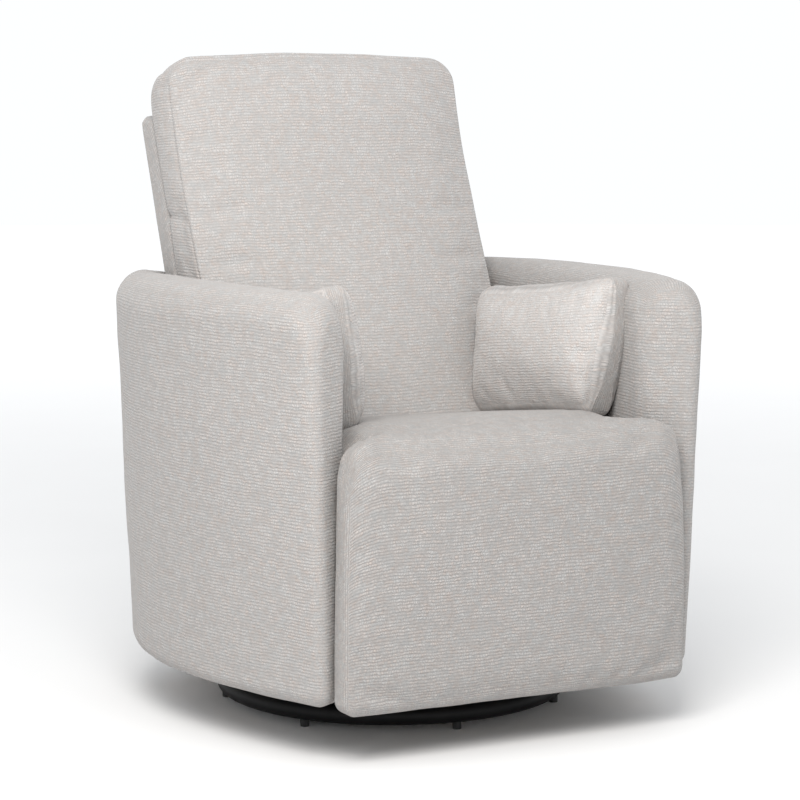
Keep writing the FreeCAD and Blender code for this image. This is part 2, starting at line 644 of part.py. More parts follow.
def shell_section(level, inset, well_inset, shrink):
    """Closed wire of the whole barrel wall at one level; it is open towards the front.

    The insets thin the wall from outside and inside; shrink moves the well's rear forwards.
    """
    front_y = dim("arm_front") + inset * 0.6
    stop = barrel_angle(lambda t: front_y - barrel_point(t, inset).y, -1.2, 0.0)
    count = 20
    top = math.pi / 2
    outer = [barrel_point(stop + (top - stop) * i / (count - 1), inset) for i in range(count)]
    inner = [FreeCAD.Vector(dim("well_front_x") + well_inset,
                            dim("well_front_y") + inset * 0.6, 0),
             FreeCAD.Vector(dim("well_middle_x") + well_inset, dim("well_middle_y"), 0)]
    inner += [well_point(0.02 + (top - 0.02) * i / 9, well_inset, shrink) for i in range(10)]
    outer_curve, inner_curve = curve_through(outer, level), curve_through(inner, level)
    outer_ends = [outer_curve.StartPoint, outer_curve.EndPoint]
    inner_ends = [inner_curve.StartPoint, inner_curve.EndPoint]
    inner_curve.reverse()
    return Part.Wire([outer_curve.toShape(), Part.makeLine(outer_ends[1], inner_ends[1]),
                      inner_curve.toShape(), Part.makeLine(inner_ends[0], outer_ends[0])])


def build_shell(inside_pieces):
    """Barrel wall in three pieces: two arms and the rear between them."""
    low, top = dim("arm_low"), dim("arm_top")
    taper = dim("shell_taper") * (top - low)
    round_low, round_top = dim("shell_bottom_round"), dim("shell_top_round")
    levels = [(low, taper + round_low * 0.6, 4, taper + round_low), (low + round_low, taper, 0, taper),
              (top - round_top * 1.5, 0, 0, 0), (top, round_top, round_top, 0)]
    sections = [shell_section(*level) for level in levels]
    wall = doc.addObject("Part::Feature", "shell_wall")
    wall.Shape = Part.makeLoft(sections, True, True)
    seam_x, seam_y = dim("shell_seam_x"), dim("shell_seam_y")
    rear_zone = make_box("rear_zone", (-seam_x, seam_y, 0), "2 * Dims.shell_seam_x",
                         "Dims.barrel_back_reach", "Dims.arm_top + 10")
    for word, side in SIDES:
        zone = make_box("arm_zone_" + word, (inner_face(side, 0, 500), -500, 0), "500 mm", "1000 mm",
                        "Dims.arm_top + 10")
        half = doc.addObject("Part::Common", "arm_half_" + word)
        half.Base, half.Tool = wall, zone
        arm = make_cut("arm_no_rear_" + word, half, rear_zone)
        keep(make_cut("arm_" + word, arm, inside_pieces), "arm_" + word)
    rear = doc.addObject("Part::Common", "shell_rear_part")
    rear.Base, rear.Tool = wall, rear_zone
    keep(rear, "shell_rear")


def build_arm_frames():
    low = dim("arm_low")
    member = dim("arm_frame_member")
    length = dim("arm_frame_back") - dim("arm_frame_front")
    inside, straps = [], []
    for word, side in SIDES:
        x = inner_face(side, dim("arm_frame_inner"), dim("arm_frame_thickness"))
        board = make_box("frame_board_" + word, (x, dim("arm_frame_front"), low),
                         "Dims.arm_frame_thickness", "Dims.arm_frame_back - Dims.arm_frame_front",
                         "Dims.arm_frame_top - Dims.arm_low")
        window = make_box("frame_window_" + word, (x, dim("arm_frame_front") + member, low + member),
                          "Dims.arm_frame_thickness", "%g mm" % (length - 2 * member),
                          "Dims.arm_frame_top - Dims.arm_low - 2 * Dims.arm_frame_member")
        inside.append(keep(make_cut("arm_frame_" + word, board, window), "arm_frame_" + word))
        reach = dim("arm_frame_inner") - dim("mech_inner")
        start = inner_face(side, dim("mech_inner"), reach)
        straps.append(make_box("strap", (start, dim("arm_strap_front"), low + 8),
                               "%g mm" % reach, "Dims.arm_strap_length",
                               "Dims.arm_strap_thickness"))
    inside.append(keep(make_group("arm_strap_pair", straps), "arm_straps"))
    spot = (-dim("arm_frame_inner"), dim("arm_frame_back") - dim("rear_rail_width"), low + 8)
    rear_rail = make_box("rear_rail_body", spot, "2 * Dims.arm_frame_inner",
                         "Dims.rear_rail_width", "Dims.rear_rail_height")
    inside.append(keep(rear_rail, "rear_cross_rail"))
    return make_group("arm_inside", inside)


# ---------------------------------------------------------------- back

def lean(piece, x, depth, along):
    """Places a piece in the leaning frame of the back: depth is square to the slope."""
    turn = FreeCAD.Rotation(X_AXIS, -dim("back_lean"))
    foot = FreeCAD.Vector(0, dim("back_foot_y"), dim("back_foot_z"))
    piece.Placement = FreeCAD.Placement(foot + turn.multVec(FreeCAD.Vector(x, depth, along)), turn)
    return piece


def slope_y(z, depth=0):
    """World y of the leaning plane at depth behind the back's dividing plane."""
    tilt = math.radians(dim("back_lean"))
    return dim("back_foot_y") + (z - dim("back_foot_z")) * math.tan(tilt) + depth / math.cos(tilt)


def build_back():
    pivot = (dim("recline_pivot_y"), dim("recline_pivot_z"))
    tail = (pivot[0], pivot[1] - dim("back_lever"))
    inside, brackets = [], []
    depth, shallow = dim("back_timber_depth"), dim("bracket_front_depth")
    low, top, nape = (dim("bracket_low_level"), dim("bracket_top_level"),
                      dim("bracket_front_level"))
    outline = [(pivot[0] - 14, pivot[1]), (tail[0] - 9, tail[1] - 8), (tail[0] + 9, tail[1] - 8),
               (pivot[0] + 18, pivot[1] - 30), (slope_y(low, depth), low),
               (slope_y(top, depth), top), (slope_y(top, shallow), top), (slope_y(nape, shallow), nape),
               (pivot[0], pivot[1] + 18), (pivot[0] - 11, pivot[1] + 12)]
    holes = [pivot + ("Dims.recline_pin_radius + Dims.running_gap",)]
    for word, side in SIDES:
        brackets.append(make_plate("back_bracket_" + word, side, "back_bracket_inner",
                                   "back_bracket_thickness", polygon_edges(outline), holes))
        post = doc.addObject("Part::Box", "back_post_" + word)
        bind(post, Length="Dims.back_timber_width", Width="Dims.back_timber_thickness",
             Height="Dims.back_frame_top - Dims.slab_low")
        lean(post, inner_face(side, dim("back_frame_half") - dim("back_timber_width"),
                              dim("back_timber_width")), depth, dim("slab_low"))
        inside.append(keep(post, "back_post_" + word))
    inside.append(keep(make_group("back_bracket_pair", brackets), "back_brackets"))
    rail_x = -(dim("back_frame_half") - dim("back_timber_width"))
    for word, level in (("lower", dim("slab_low")),
                        ("upper", dim("back_frame_top") - dim("back_timber_width"))):
        rail = doc.addObject("Part::Box", "back_rail_" + word)
        bind(rail, Length="2 * (Dims.back_frame_half - Dims.back_timber_width)",
             Width="Dims.back_timber_thickness", Height="Dims.back_timber_width")
        inside.append(keep(lean(rail, rail_x, depth, level), "back_rail_" + word))
    pin_pair("recline_pivot_pin", dim("recline_pin_start"), pivot, "recline_pin_radius",
             "recline_pin_length")

    half, corner, top, low = dim("slab_half_width"), dim("slab_round"), dim("slab_top"), dim("slab_low")
    wire = Part.Wire([
        Part.makeLine((-half, 0, low), (half, 0, low)),
        Part.makeLine((half, 0, low), (half, 0, top - corner)),
        Part.makeCircle(corner, FreeCAD.Vector(half - corner, 0, top - corner),
                        FreeCAD.Vector(0, -1, 0), 0, 90),
        Part.makeLine((half - corner, 0, top), (-half + corner, 0, top)),
        Part.makeCircle(corner, FreeCAD.Vector(-half + corner, 0, top - corner),
                        FreeCAD.Vector(0, -1, 0), 90, 180),
        Part.makeLine((-half, 0, top - corner), (-half, 0, low)),
    ])
    blank = doc.addObject("Part::Feature", "back_slab_blank")
    blank.Shape = Part.Face(wire).extrude(FreeCAD.Vector(0, dim("slab_thickness"), 0))
    lean(blank, 0, 0, 0)
    keep(make_cut("back_slab", blank, make_group("back_inside", inside)), "back_outer_panel")

    base, crown = dim("back_cushion_low"), dim("back_cushion_top")
    gap, shoulder = -dim("soft_gap"), crown - dim("cushion_rear_drop")
    rear = slope_y(shoulder, gap)
    face = [(296, crown), (270, crown - 28), (243, 900), (196, 780), (140, 660)]
    profile = [(dim("cushion_base_y"), base), (slope_y(base, gap), base), (rear, shoulder),
               (rear, crown - dim("cushion_rear_shoulder")), (338, crown)] + face
    keep(make_prism("back_cushion_blank", "back_cushion_half_width", profile), "back_cushion")


# ---------------------------------------------------------------- pillows

def build_pillows():
    for word, side in SIDES:
        blank = doc.addObject("Part::Box", "pillow_blank_" + word)
        bind(blank, Length="Dims.pillow_thickness", Width="Dims.pillow_length",
             Height="Dims.pillow_height")
        fillet = doc.addObject("Part::Fillet", "pillow_round_" + word)
        fillet.Base = blank
        doc.recompute()
        fillet.Edges = [(number, dim("pillow_round"), dim("pillow_round"))
                        for number in range(1, len(blank.Shape.Edges) + 1)]
        turn = FreeCAD.Rotation(Z_AXIS, side * dim("pillow_yaw"))
        turn = turn.multiply(FreeCAD.Rotation(X_AXIS, dim("pillow_pitch")))
        corner = turn.multVec(FreeCAD.Vector(-dim("pillow_thickness") / 2,
                                             -dim("pillow_length") / 2, 0))
        spot = FreeCAD.Vector(side * dim("pillow_x"), dim("pillow_y"), dim("pillow_level"))
        fillet.Placement = FreeCAD.Placement(spot + corner, turn)
        keep(fillet, "arm_pillow_" + word)


def check_and_write():
    doc.recompute()
    for piece in doc.Objects:
        for state in ("Invalid", "Error"):
            if state in piece.State:
                raise RuntimeError("%s is %s" % (piece.Label, piece.State))
    os.makedirs("parts", exist_ok=True)
    for piece in nodes:
        shape = piece.Shape
        if shape.isNull() or not shape.isValid() or not shape.Solids:
            raise RuntimeError("%s has no sound solid" % piece.Label)
    for piece in nodes:
        piece.Shape.exportStep("parts/%s.step" % piece.Label)
        print("%-28s %2d solids %10.0f mm3" % (piece.Label, len(piece.Shape.Solids),
                                               piece.Shape.Volume))
    print(len(nodes), "nodes")


build_base()
deck_level = build_swivel()
build_turntable(deck_level)
build_links()
build_carriage()
build_seat_frame(build_mechanism())
build_springs()
build_seat_cushion()
build_footrest()
build_drive_rods()
build_shell(build_arm_frames())
build_back()
build_pillows()
check_and_write()
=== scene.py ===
import json
import math

import bpy
import numpy as np
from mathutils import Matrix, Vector, noise


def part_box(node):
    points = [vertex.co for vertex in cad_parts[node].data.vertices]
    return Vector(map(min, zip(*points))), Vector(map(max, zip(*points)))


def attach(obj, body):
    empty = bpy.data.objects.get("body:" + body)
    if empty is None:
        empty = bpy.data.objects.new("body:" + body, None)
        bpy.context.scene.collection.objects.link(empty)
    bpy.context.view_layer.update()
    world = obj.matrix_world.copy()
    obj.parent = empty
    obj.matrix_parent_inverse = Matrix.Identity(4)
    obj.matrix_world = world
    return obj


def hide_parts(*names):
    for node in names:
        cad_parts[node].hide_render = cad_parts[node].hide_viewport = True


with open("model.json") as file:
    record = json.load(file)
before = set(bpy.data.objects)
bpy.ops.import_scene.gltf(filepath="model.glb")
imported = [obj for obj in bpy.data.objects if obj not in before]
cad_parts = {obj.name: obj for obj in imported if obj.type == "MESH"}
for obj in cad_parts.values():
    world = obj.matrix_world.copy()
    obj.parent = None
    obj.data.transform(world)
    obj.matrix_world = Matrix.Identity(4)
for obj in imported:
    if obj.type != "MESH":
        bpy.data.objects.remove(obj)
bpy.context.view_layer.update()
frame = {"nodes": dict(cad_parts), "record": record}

# The chair faces -Y and stands on z = 0. Lengths are in metres. Each cushion, pad and wall is a
# rounded box that is bent to its place, swollen by a short cloth simulation where it is soft foam, and
# shown in place of its CAD solids, which are hidden. Every other CAD node stays and gets a procedural
# material.

CELL = 0.011            # mesh size of the upholstery before its subdivision


# ---------------------------------------------------------------- small helpers

def smoothstep(x, low=0.0, high=1.0):
    t = np.clip((np.asarray(x, float) - low) / (high - low), 0, 1)
    return t * t * (3 - 2 * t)


def bell(x, middle, width):
    """Gaussian bump of height 1."""
    return np.exp(-((np.asarray(x, float) - middle) / width) ** 2)


def bumps(points, wavelength, amount, seed):
    """Smooth noise at each point, with about that wavelength in metres."""
    shift = Vector((seed * 7.31, seed * 3.17, seed * 5.59))
    return np.array([amount * noise.noise(Vector(p) / wavelength + shift) for p in points])


def box_of(*names):
    """Lowest and highest corner of several CAD nodes together."""
    boxes = [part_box(name) for name in names]
    low = np.min([tuple(b[0]) for b in boxes], axis=0)
    high = np.max([tuple(b[1]) for b in boxes], axis=0)
    return low, high


# ---------------------------------------------------------------- soft box: the base of every cushion

ARC_STEPS = 5


def grid_lines(half, spacing, radius_low, radius_high, extra=()):
    """Positions of the mesh lines along one axis: even in the middle, even by angle on the rounding."""
    low, high = -half + radius_low, half - radius_high
    count = max(2, int(round((high - low) / spacing)))
    middle = list(np.linspace(low, high, count + 1))
    steps = [math.tan(math.pi / 4 * k / ARC_STEPS) for k in range(1, ARC_STEPS + 1)]
    lines = [low - radius_low * s for s in reversed(steps)] + middle
    lines += [high + radius_high * s for s in steps]
    return np.array(sorted(set(np.round(lines + list(extra), 7))))


def soften(points, half, radius_low, radius_high):
    """Moves points on the surface of a box onto the same box with rounded edges."""
    excess, radius = np.zeros_like(points), np.zeros_like(points)
    for axis in range(3):
        negative = points[:, axis] < 0
        radius[:, axis] = np.where(negative, radius_low[axis], radius_high[axis])
        reach = np.abs(points[:, axis]) - (half[axis] - radius[:, axis])
        excess[:, axis] = np.clip(reach / radius[:, axis], 0, 1)
    length = np.maximum(np.linalg.norm(excess, axis=1), 1.0)[:, None]
    core = np.minimum(np.abs(points), np.array(half) - radius)
    return np.sign(points) * (core + radius * excess / length)


def line_radius(radius):
    return radius[1] if isinstance(radius, tuple) else radius


def radius_at(radius, points):
    value = radius[0](points) if isinstance(radius, tuple) else radius
    return np.broadcast_to(value, len(points))


def soft_box(name, half, spacing, radius_low, radius_high, place, weave, extra=((), (), ())):
    """Closed quad mesh of a rounded box. A radius is a number or a pair (function of the points,
    number for the mesh lines). place maps the points to the chair; weave(axis, sign, points)
    gives the fabric's coordinates along and across its ribs."""
    lines = [grid_lines(half[a], spacing[a], line_radius(radius_low[a]), line_radius(radius_high[a]),
                        extra[a]) for a in range(3)]
    index, points, faces, coordinates = {}, [], [], []

    def vertex(key):
        if key not in index:
            index[key] = len(points)
            points.append([lines[a][key[a]] for a in range(3)])
        return index[key]

    for axis in range(3):
        u, v = (axis + 1) % 3, (axis + 2) % 3
        for sign in (-1, 1):
            fixed = 0 if sign < 0 else len(lines[axis]) - 1
            corner_points = []
            for i in range(len(lines[u]) - 1):
                for j in range(len(lines[v]) - 1):
                    face = []
                    for du, dv in ((0, 0), (1, 0), (1, 1), (0, 1))[::sign]:
                        key = [0, 0, 0]
                        key[axis], key[u], key[v] = fixed, i + du, j + dv
                        face.append(vertex(tuple(key)))
                    faces.append(face)
                    corner_points += [points[k] for k in face]
            coordinates.append(weave(axis, sign, np.array(corner_points)))
    points = np.array(points)
    low = [radius_at(radius, points) for radius in radius_low]
    high = [radius_at(radius, points) for radius in radius_high]
    placed = place(soften(points, half, low, high))
    return make_mesh(name, placed, faces, np.concatenate(coordinates)), points


def make_mesh(name, points, faces, coordinates):
    mesh = bpy.data.meshes.new(name)
    mesh.from_pydata([tuple(p) for p in points], [], faces)
    attribute = mesh.attributes.new("weave", "FLOAT_VECTOR", "CORNER")
    values = np.zeros((len(coordinates), 3), np.float32)
    values[:, :2] = coordinates
    attribute.data.foreach_set("vector", values.ravel())
    mesh.polygons.foreach_set("use_smooth", [True] * len(mesh.polygons))
    piece = bpy.data.objects.new(name, mesh)
    bpy.context.scene.collection.objects.link(piece)
    if signed_volume(mesh) < 0:
        mesh.flip_normals()
    return piece


def signed_volume(mesh):
    total = 0.0
    for face in mesh.polygons:
        corners = [mesh.vertices[k].co for k in face.vertices]
        for k in range(1, len(corners) - 1):
            total += corners[0].dot(corners[k].cross(corners[k + 1]))
    return total


def coords(piece):
    co = np.zeros(len(piece.data.vertices) * 3)
    piece.data.vertices.foreach_get("co", co)
    return co.reshape(-1, 3)


def set_coords(piece, points):
    piece.data.vertices.foreach_set("co", np.asarray(points, np.float32).ravel())
    piece.data.update()


def normals(piece):
    values = np.zeros(len(piece.data.vertices) * 3, np.float32)
    piece.data.vertices.foreach_get("normal", values)
    return values.reshape(-1, 3).astype(float)


def push(piece, distance):
    """Moves every vertex along its normal."""
    set_coords(piece, coords(piece) + normals(piece) * np.asarray(distance)[:, None])


def freeze(piece):
    """Replaces the piece's mesh by what its modifiers make of it."""
    shown = piece.evaluated_get(bpy.context.evaluated_depsgraph_get())
    mesh = bpy.data.meshes.new_from_object(shown)
    old = piece.data
    piece.modifiers.clear()
    piece.data = mesh
    mesh.name = piece.name
    bpy.data.meshes.remove(old)


def subdivide(piece):
    piece.modifiers.new("finer", "SUBSURF").levels = 1
    freeze(piece)


CLOTH_FRAMES = 20
CLOTH_QUALITY = 6
CLOTH_MASS = 0.25
CLOTH_SHRINK = -0.015   # the cover is this much larger than its filling
HELD_LEAST = 0.01


def inflate(piece, held, pressure, cap, tension=18, bend=0.6):
    """Cloth simulation: the cover swells between its held seams. cap is the furthest move in metres."""
    scene = bpy.context.scene
    start = coords(piece)
    group = piece.vertex_groups.new(name="seams")
    for k in np.nonzero(held > HELD_LEAST)[0]:
        group.add([int(k)], float(min(held[k], 1.0)), "REPLACE")
    cloth = piece.modifiers.new("cover", "CLOTH")
    settings = cloth.settings
    settings.quality = CLOTH_QUALITY
    settings.mass = CLOTH_MASS
    settings.tension_stiffness = tension
    settings.compression_stiffness = tension
    settings.shear_stiffness = tension * 0.6
    settings.bending_stiffness = bend
    settings.use_pressure = True
    settings.uniform_pressure_force = pressure
    settings.shrink_min = CLOTH_SHRINK
    settings.vertex_group_mass = "seams"
    settings.effector_weights.gravity = 0
    cloth.collision_settings.use_collision = False
    cloth.point_cache.frame_start = 1
    cloth.point_cache.frame_end = CLOTH_FRAMES
    for number in range(1, CLOTH_FRAMES + 1):
        scene.frame_set(number)
    shown = piece.evaluated_get(bpy.context.evaluated_depsgraph_get())
    moved = np.zeros(len(shown.data.vertices) * 3)
    shown.data.vertices.foreach_get("co", moved)
    step = moved.reshape(-1, 3) - start
    length = np.linalg.norm(step, axis=1)
    step *= (np.minimum(length, cap) / np.maximum(length, 1e-9))[:, None]
    piece.modifiers.clear()
    piece.vertex_groups.clear()
    set_coords(piece, start + step)
    scene.frame_set(1)


# ---------------------------------------------------------------- materials

FABRIC, BLACK, ZINC = "chenille_fabric", "black_metal", "zinc_steel"
TIMBER, PLY, NYLON, RUBBER = "frame_wood", "plywood", "roller_nylon", "rubber_foot"
RIB_PITCH = 0.0047
NUB_LENGTH = 0.0041
BUMP_DEPTH = 0.0010
WHOLE_SHADE, RELIEF_SHADE = 0.34, 0.26


class Nodes:
    """Short way to build a shader: each call adds a node and links or sets its inputs."""

    def __init__(self, name):
        self.material = bpy.data.materials.new(name)
        self.material.use_nodes = True
        self.tree = self.material.node_tree
        self.shader = self.tree.nodes["Principled BSDF"]

    def add(self, kind, inputs=(), **settings):
        made = self.tree.nodes.new("ShaderNode" + kind)
        for key, value in settings.items():
            setattr(made, key, value)
        for key, value in dict(inputs).items():
            self.feed(made.inputs[key], value)
        return made

    def feed(self, socket, value):
        if isinstance(value, bpy.types.NodeSocket):
            self.tree.links.new(value, socket)
        else:
            socket.default_value = value

    def math(self, operation, *values):
        return self.add("Math", dict(enumerate(values)), operation=operation).outputs[0]

    def mix(self, factor, first, second, blend="MIX"):
        made = self.add("Mix", {0: factor, 6: first, 7: second}, data_type="RGBA", blend_type=blend)
        return made.outputs[2]

    def vector(self, x, y, z=0.0):
        return self.add("CombineXYZ", {0: x, 1: y, 2: z}).outputs[0]

    def noise(self, vector, scale, detail=2.0, roughness=0.5):
        inputs = {"Vector": vector, "Scale": scale, "Detail": detail, "Roughness": roughness}
        return self.add("TexNoise", inputs).outputs["Fac"]

    def ramp(self, value, low, high):
        inputs = {"Value": value, "From Min": low, "From Max": high}
        return self.add("MapRange", inputs, interpolation_type="SMOOTHSTEP").outputs[0]

    def set(self, **values):
        for key, value in values.items():
            self.feed(self.shader.inputs[key.replace("_", " ")], value)

    def bump(self, height, distance, strength):
        inputs = {"Height": height, "Distance": distance, "Strength": strength}
        return self.add("Bump", inputs).outputs[0]


def fabric_material():
    """Pale chenille: fine ribs broken into short nubs, in soft blocks, with warm and cool flecks.

    The attribute "weave" holds the place along the ribs, the place across them, and how much lighter
    the colour is painted there, as painted light and shade (darker below zero).
    """
    n = Nodes(FABRIC)
    # The third weave value is painted light and shade: it makes each piece's colour lighter or darker.
    place = n.add("SeparateXYZ", {0: n.add("Attribute", attribute_name="weave").outputs["Vector"]})
    along, across = place.outputs[0], place.outputs[1]
    flat = n.vector(along, across)
    drift = n.math("MULTIPLY", n.noise(flat, 8.0, 2.0), 1.8)
    jitter = n.math("MULTIPLY", n.noise(flat, 90.0, 3.0, 0.7), 1.15)
    row = n.math("ADD", n.math("DIVIDE", across, RIB_PITCH), n.math("ADD", drift, jitter))
    row_number = n.math("FLOOR", row)
    rib = n.math("SINE", n.math("MULTIPLY", n.math("FRACT", row), math.pi))
    row_random = n.add("TexWhiteNoise", {"W": row_number}, noise_dimensions="1D").outputs["Value"]
    stitch = n.math("ADD", n.math("DIVIDE", along, NUB_LENGTH), n.math("MULTIPLY", row_random, 7.0))
    stitch = n.math("ADD", stitch, n.math("MULTIPLY", n.noise(flat, 70.0, 2.0), 4.0))
    nub = n.math("SINE", n.math("MULTIPLY", n.math("FRACT", stitch), math.pi))
    cell = n.vector(n.math("FLOOR", stitch), row_number)
    random = n.add("TexWhiteNoise", {"Vector": cell}, noise_dimensions="2D").outputs["Value"]
    blocks = n.vector(n.math("MULTIPLY", along, 60.0), n.math("MULTIPLY", across, 70.0), 3.7)
    block = n.ramp(n.noise(blocks, 1.0, 3.0, 0.65), 0.42, 0.58)
    nap_and_painted_light = n.noise(n.vector(n.math("MULTIPLY", along, 420.0), n.math("MULTIPLY", across, 900.0)), 1.0,
                  3.0, 0.75)
    pile = n.noise(flat, 240.0, 3.0, 0.7)

    strength = n.math("ADD", n.math("MULTIPLY", block, 0.55), 0.15)
    dots = n.math("MULTIPLY", nub, strength)
    lift = n.math("ADD", n.math("MULTIPLY", random, 0.50), 0.12)
    worn = n.math("ADD", n.math("MULTIPLY", n.noise(flat, 150.0, 3.0, 0.7), 1.4), 0.25)
    relief = n.math("MULTIPLY", n.math("MULTIPLY", rib, worn), n.math("ADD", dots, lift))
    height = n.math("ADD", relief, n.math("MULTIPLY", nap_and_painted_light, 0.35))
    height = n.math("ADD", height, n.math("MULTIPLY", pile, 0.80))

    warm = n.ramp(n.noise(flat, 60.0, 5.0, 0.75), 0.36, 0.64)
    tone = n.mix(warm, (0.545, 0.540, 0.535, 1), (0.560, 0.515, 0.490, 1))
    broad = n.ramp(n.noise(flat, 5.0, 2.0), 0.3, 0.7)
    tone = n.mix(n.math("MULTIPLY", broad, 0.20), tone, (0.580, 0.565, 0.555, 1))
    pink = n.ramp(random, 0.72, 1.0)
    tone = n.mix(n.math("MULTIPLY", pink, 0.30), tone, (0.500, 0.415, 0.365, 1))
    white = n.math("SUBTRACT", 1.0, n.ramp(random, 0.0, 0.35))
    tone = n.mix(n.math("MULTIPLY", white, 0.30), tone, (0.720, 0.715, 0.705, 1))
    # Painted shade: the colour is darker where the weave's relief is low, in its hollows.
    shade = n.math("ADD", n.math("MULTIPLY", height, RELIEF_SHADE),
                   n.math("ADD", place.outputs[2], WHOLE_SHADE))
    tone = n.mix(1.0, tone, n.add("CombineColor", {0: shade, 1: shade, 2: shade}).outputs[0],
                 "MULTIPLY")
    n.set(Base_Color=tone, Roughness=0.92, Sheen_Weight=0.25, Sheen_Roughness=0.45,
          Normal=n.bump(height, BUMP_DEPTH, 0.75))
    n.shader.inputs["Specular IOR Level"].default_value = 0.15
    n.shader.inputs["Sheen Tint"].default_value = (0.95, 0.93, 0.91, 1)
    return n.material


def object_place(n):
    return n.add("TexCoord").outputs["Object"]


def black_material():
    n = Nodes(BLACK)
    place = object_place(n)
    grain = n.noise(place, 1400.0, 2.0)
    worn = n.noise(place, 14.0, 3.0)
    tone = n.mix(n.ramp(worn, 0.35, 0.75), (0.0035, 0.0035, 0.004, 1), (0.008, 0.008, 0.0085, 1))
    rough = n.math("ADD", n.math("MULTIPLY", worn, 0.18), 0.46)
    n.set(Base_Color=tone, Roughness=rough, Normal=n.bump(grain, 0.0002, 0.35))
    n.shader.inputs["Specular IOR Level"].default_value = 0.22
    return n.material


def zinc_material():
    n = Nodes(ZINC)
    place = object_place(n)
    cloud = n.noise(place, 55.0, 4.0, 0.65)
    tone = n.mix(n.ramp(cloud, 0.35, 0.65), (0.50, 0.50, 0.49, 1), (0.66, 0.66, 0.64, 1))
    rough = n.math("ADD", n.math("MULTIPLY", cloud, 0.25), 0.26)
    n.set(Base_Color=tone, Metallic=1.0, Roughness=rough,
          Normal=n.bump(n.noise(place, 700.0), 0.0001, 0.4))
    return n.material


def wood_material(name, light, dark, rings, layers=0.0):
    """Planed timber with a long grain; layers is the stripe height of plywood, or 0 for none."""
    n = Nodes(name)
    place = object_place(n)
    stretched = n.add("Mapping", {"Vector": place, "Scale": (0.9, 0.9, 9.0)}).outputs[0]
    grain = n.noise(stretched, rings, 5.0, 0.62)
    fine = n.noise(stretched, rings * 9.0, 2.0)
    tone = n.mix(n.ramp(grain, 0.34, 0.66), light, dark)
    tone = n.mix(n.math("MULTIPLY", fine, 0.25), tone, dark)
    if layers:
        height = n.add("SeparateXYZ", {0: place}).outputs[1]
        stripe = n.math("SINE", n.math("MULTIPLY", height, 2 * math.pi / layers))
        tone = n.mix(n.ramp(stripe, 0.2, 0.8), tone, dark)
    n.set(Base_Color=tone, Roughness=n.math("ADD", n.math("MULTIPLY", fine, 0.2), 0.58),
          Normal=n.bump(fine, 0.0003, 0.4))
    return n.material


def plain_material(name, tone, other, roughness, grain):
    """Moulded part: faint mottling and a fine grain."""
    n = Nodes(name)
    place = object_place(n)
    cloud = n.noise(place, 40.0, 3.0)
    n.set(Base_Color=n.mix(cloud, tone, other), Roughness=n.math("ADD", n.math("MULTIPLY", cloud, 0.15),
          roughness), Normal=n.bump(n.noise(place, grain), 0.0002, 0.3))
    return n.material


MATERIALS = {
    FABRIC: fabric_material(),
    BLACK: black_material(),
    ZINC: zinc_material(),
    TIMBER: wood_material(TIMBER, (0.62, 0.43, 0.25, 1), (0.46, 0.28, 0.14, 1), 14.0),
    PLY: wood_material(PLY, (0.58, 0.41, 0.25, 1), (0.40, 0.26, 0.14, 1), 10.0, layers=0.0024),
    NYLON: plain_material(NYLON, (0.70, 0.69, 0.65, 1), (0.62, 0.61, 0.57, 1), 0.4, 300.0),
    RUBBER: plain_material(RUBBER, (0.015, 0.015, 0.015, 1), (0.03, 0.03, 0.03, 1), 0.7, 900.0),
}


def finish_piece(piece, body, replaced, nap_and_painted_light=0.0):
    """Gives one upholstered piece its fabric and body, and hides the CAD nodes it replaces.

    The last argument paints light and shade: how much lighter the fabric is painted on this piece (darker
    below zero), one number or one for each vertex.
    """
    attribute = piece.data.attributes["weave"]
    values = np.zeros(len(attribute.data) * 3, np.float32)
    attribute.data.foreach_get("vector", values)
    vertex_of = np.zeros(len(attribute.data), np.int32)
    piece.data.loops.foreach_get("vertex_index", vertex_of)
    values[2::3] = np.broadcast_to(nap_and_painted_light, len(piece.data.vertices))[vertex_of]
    attribute.data.foreach_set("vector", values)
    piece.data.materials.clear()
    piece.data.materials.append(MATERIALS[FABRIC])
    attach(piece, body)
    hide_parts(*replaced)


def dress_cad_nodes():
    """CAD nodes that stay visible get their material and smooth shading."""
    slots = {row["node"]: row["material_slot"] for row in frame["record"]["subparts"]}
    for name, node in frame["nodes"].items():
        node.data.materials.clear()
        node.data.materials.append(MATERIALS[slots[name]])
        node.data.polygons.foreach_set("use_smooth", [True] * len(node.data.polygons))
        node.data.set_sharp_from_angle(angle=math.radians(35))


# ---------------------------------------------------------------- barrel shell

WIDEST_Y, BARREL_REAR, BARREL_REAR_POWER = -0.0284, 0.458, 2.3
BARREL_FRONT, BARREL_FRONT_POWER = 0.768, 1.4876
WELL_FRONT_X, WELL_HALF, WELL_WIDEST_Y = 0.242, 0.292, 0.10
WELL_REAR, WELL_REAR_POWER = 0.272, 3.5
END_DEPTH = 0.057
TAPER = 0.0386
ROLL, CORNER = 0.045, 0.024
ROLL_START, ROLL_FULL = 0.085, 0.020   # depths below the rim where the roll starts and is full
ROLL_MOST = 0.97         # largest share of the wall's half thickness that the roll takes
END_ROLL = 0.026         # how much rounder the front ends are at the rim
BOTTOM_EDGE = 0.022
REAR_DIP = 0.030
DIP_START, DIP_END = 0.05, 0.42        # shares of the half outline, from the rear centre
FRONT_SWEEP = -1.2       # where the front curve of the outer face ends, as an angle
WELL_CURVE = 1.2
PANEL_SEAM = 0.33        # place of the seam, as a share of the half outline
GROOVE_DEPTH, GROOVE_WIDTH = 0.003, 0.0035
RIM_CLOTH = 0.1          # length of cloth that crosses the rim


def superellipse(half, reach, power, start, stop, count=400):
    angles = np.linspace(start, stop, count)
    x = half * np.abs(np.cos(angles)) ** (2 / power)
    y = np.sign(np.sin(angles)) * reach * np.abs(np.sin(angles)) ** (2 / power)
    return np.stack([x, y], axis=1)


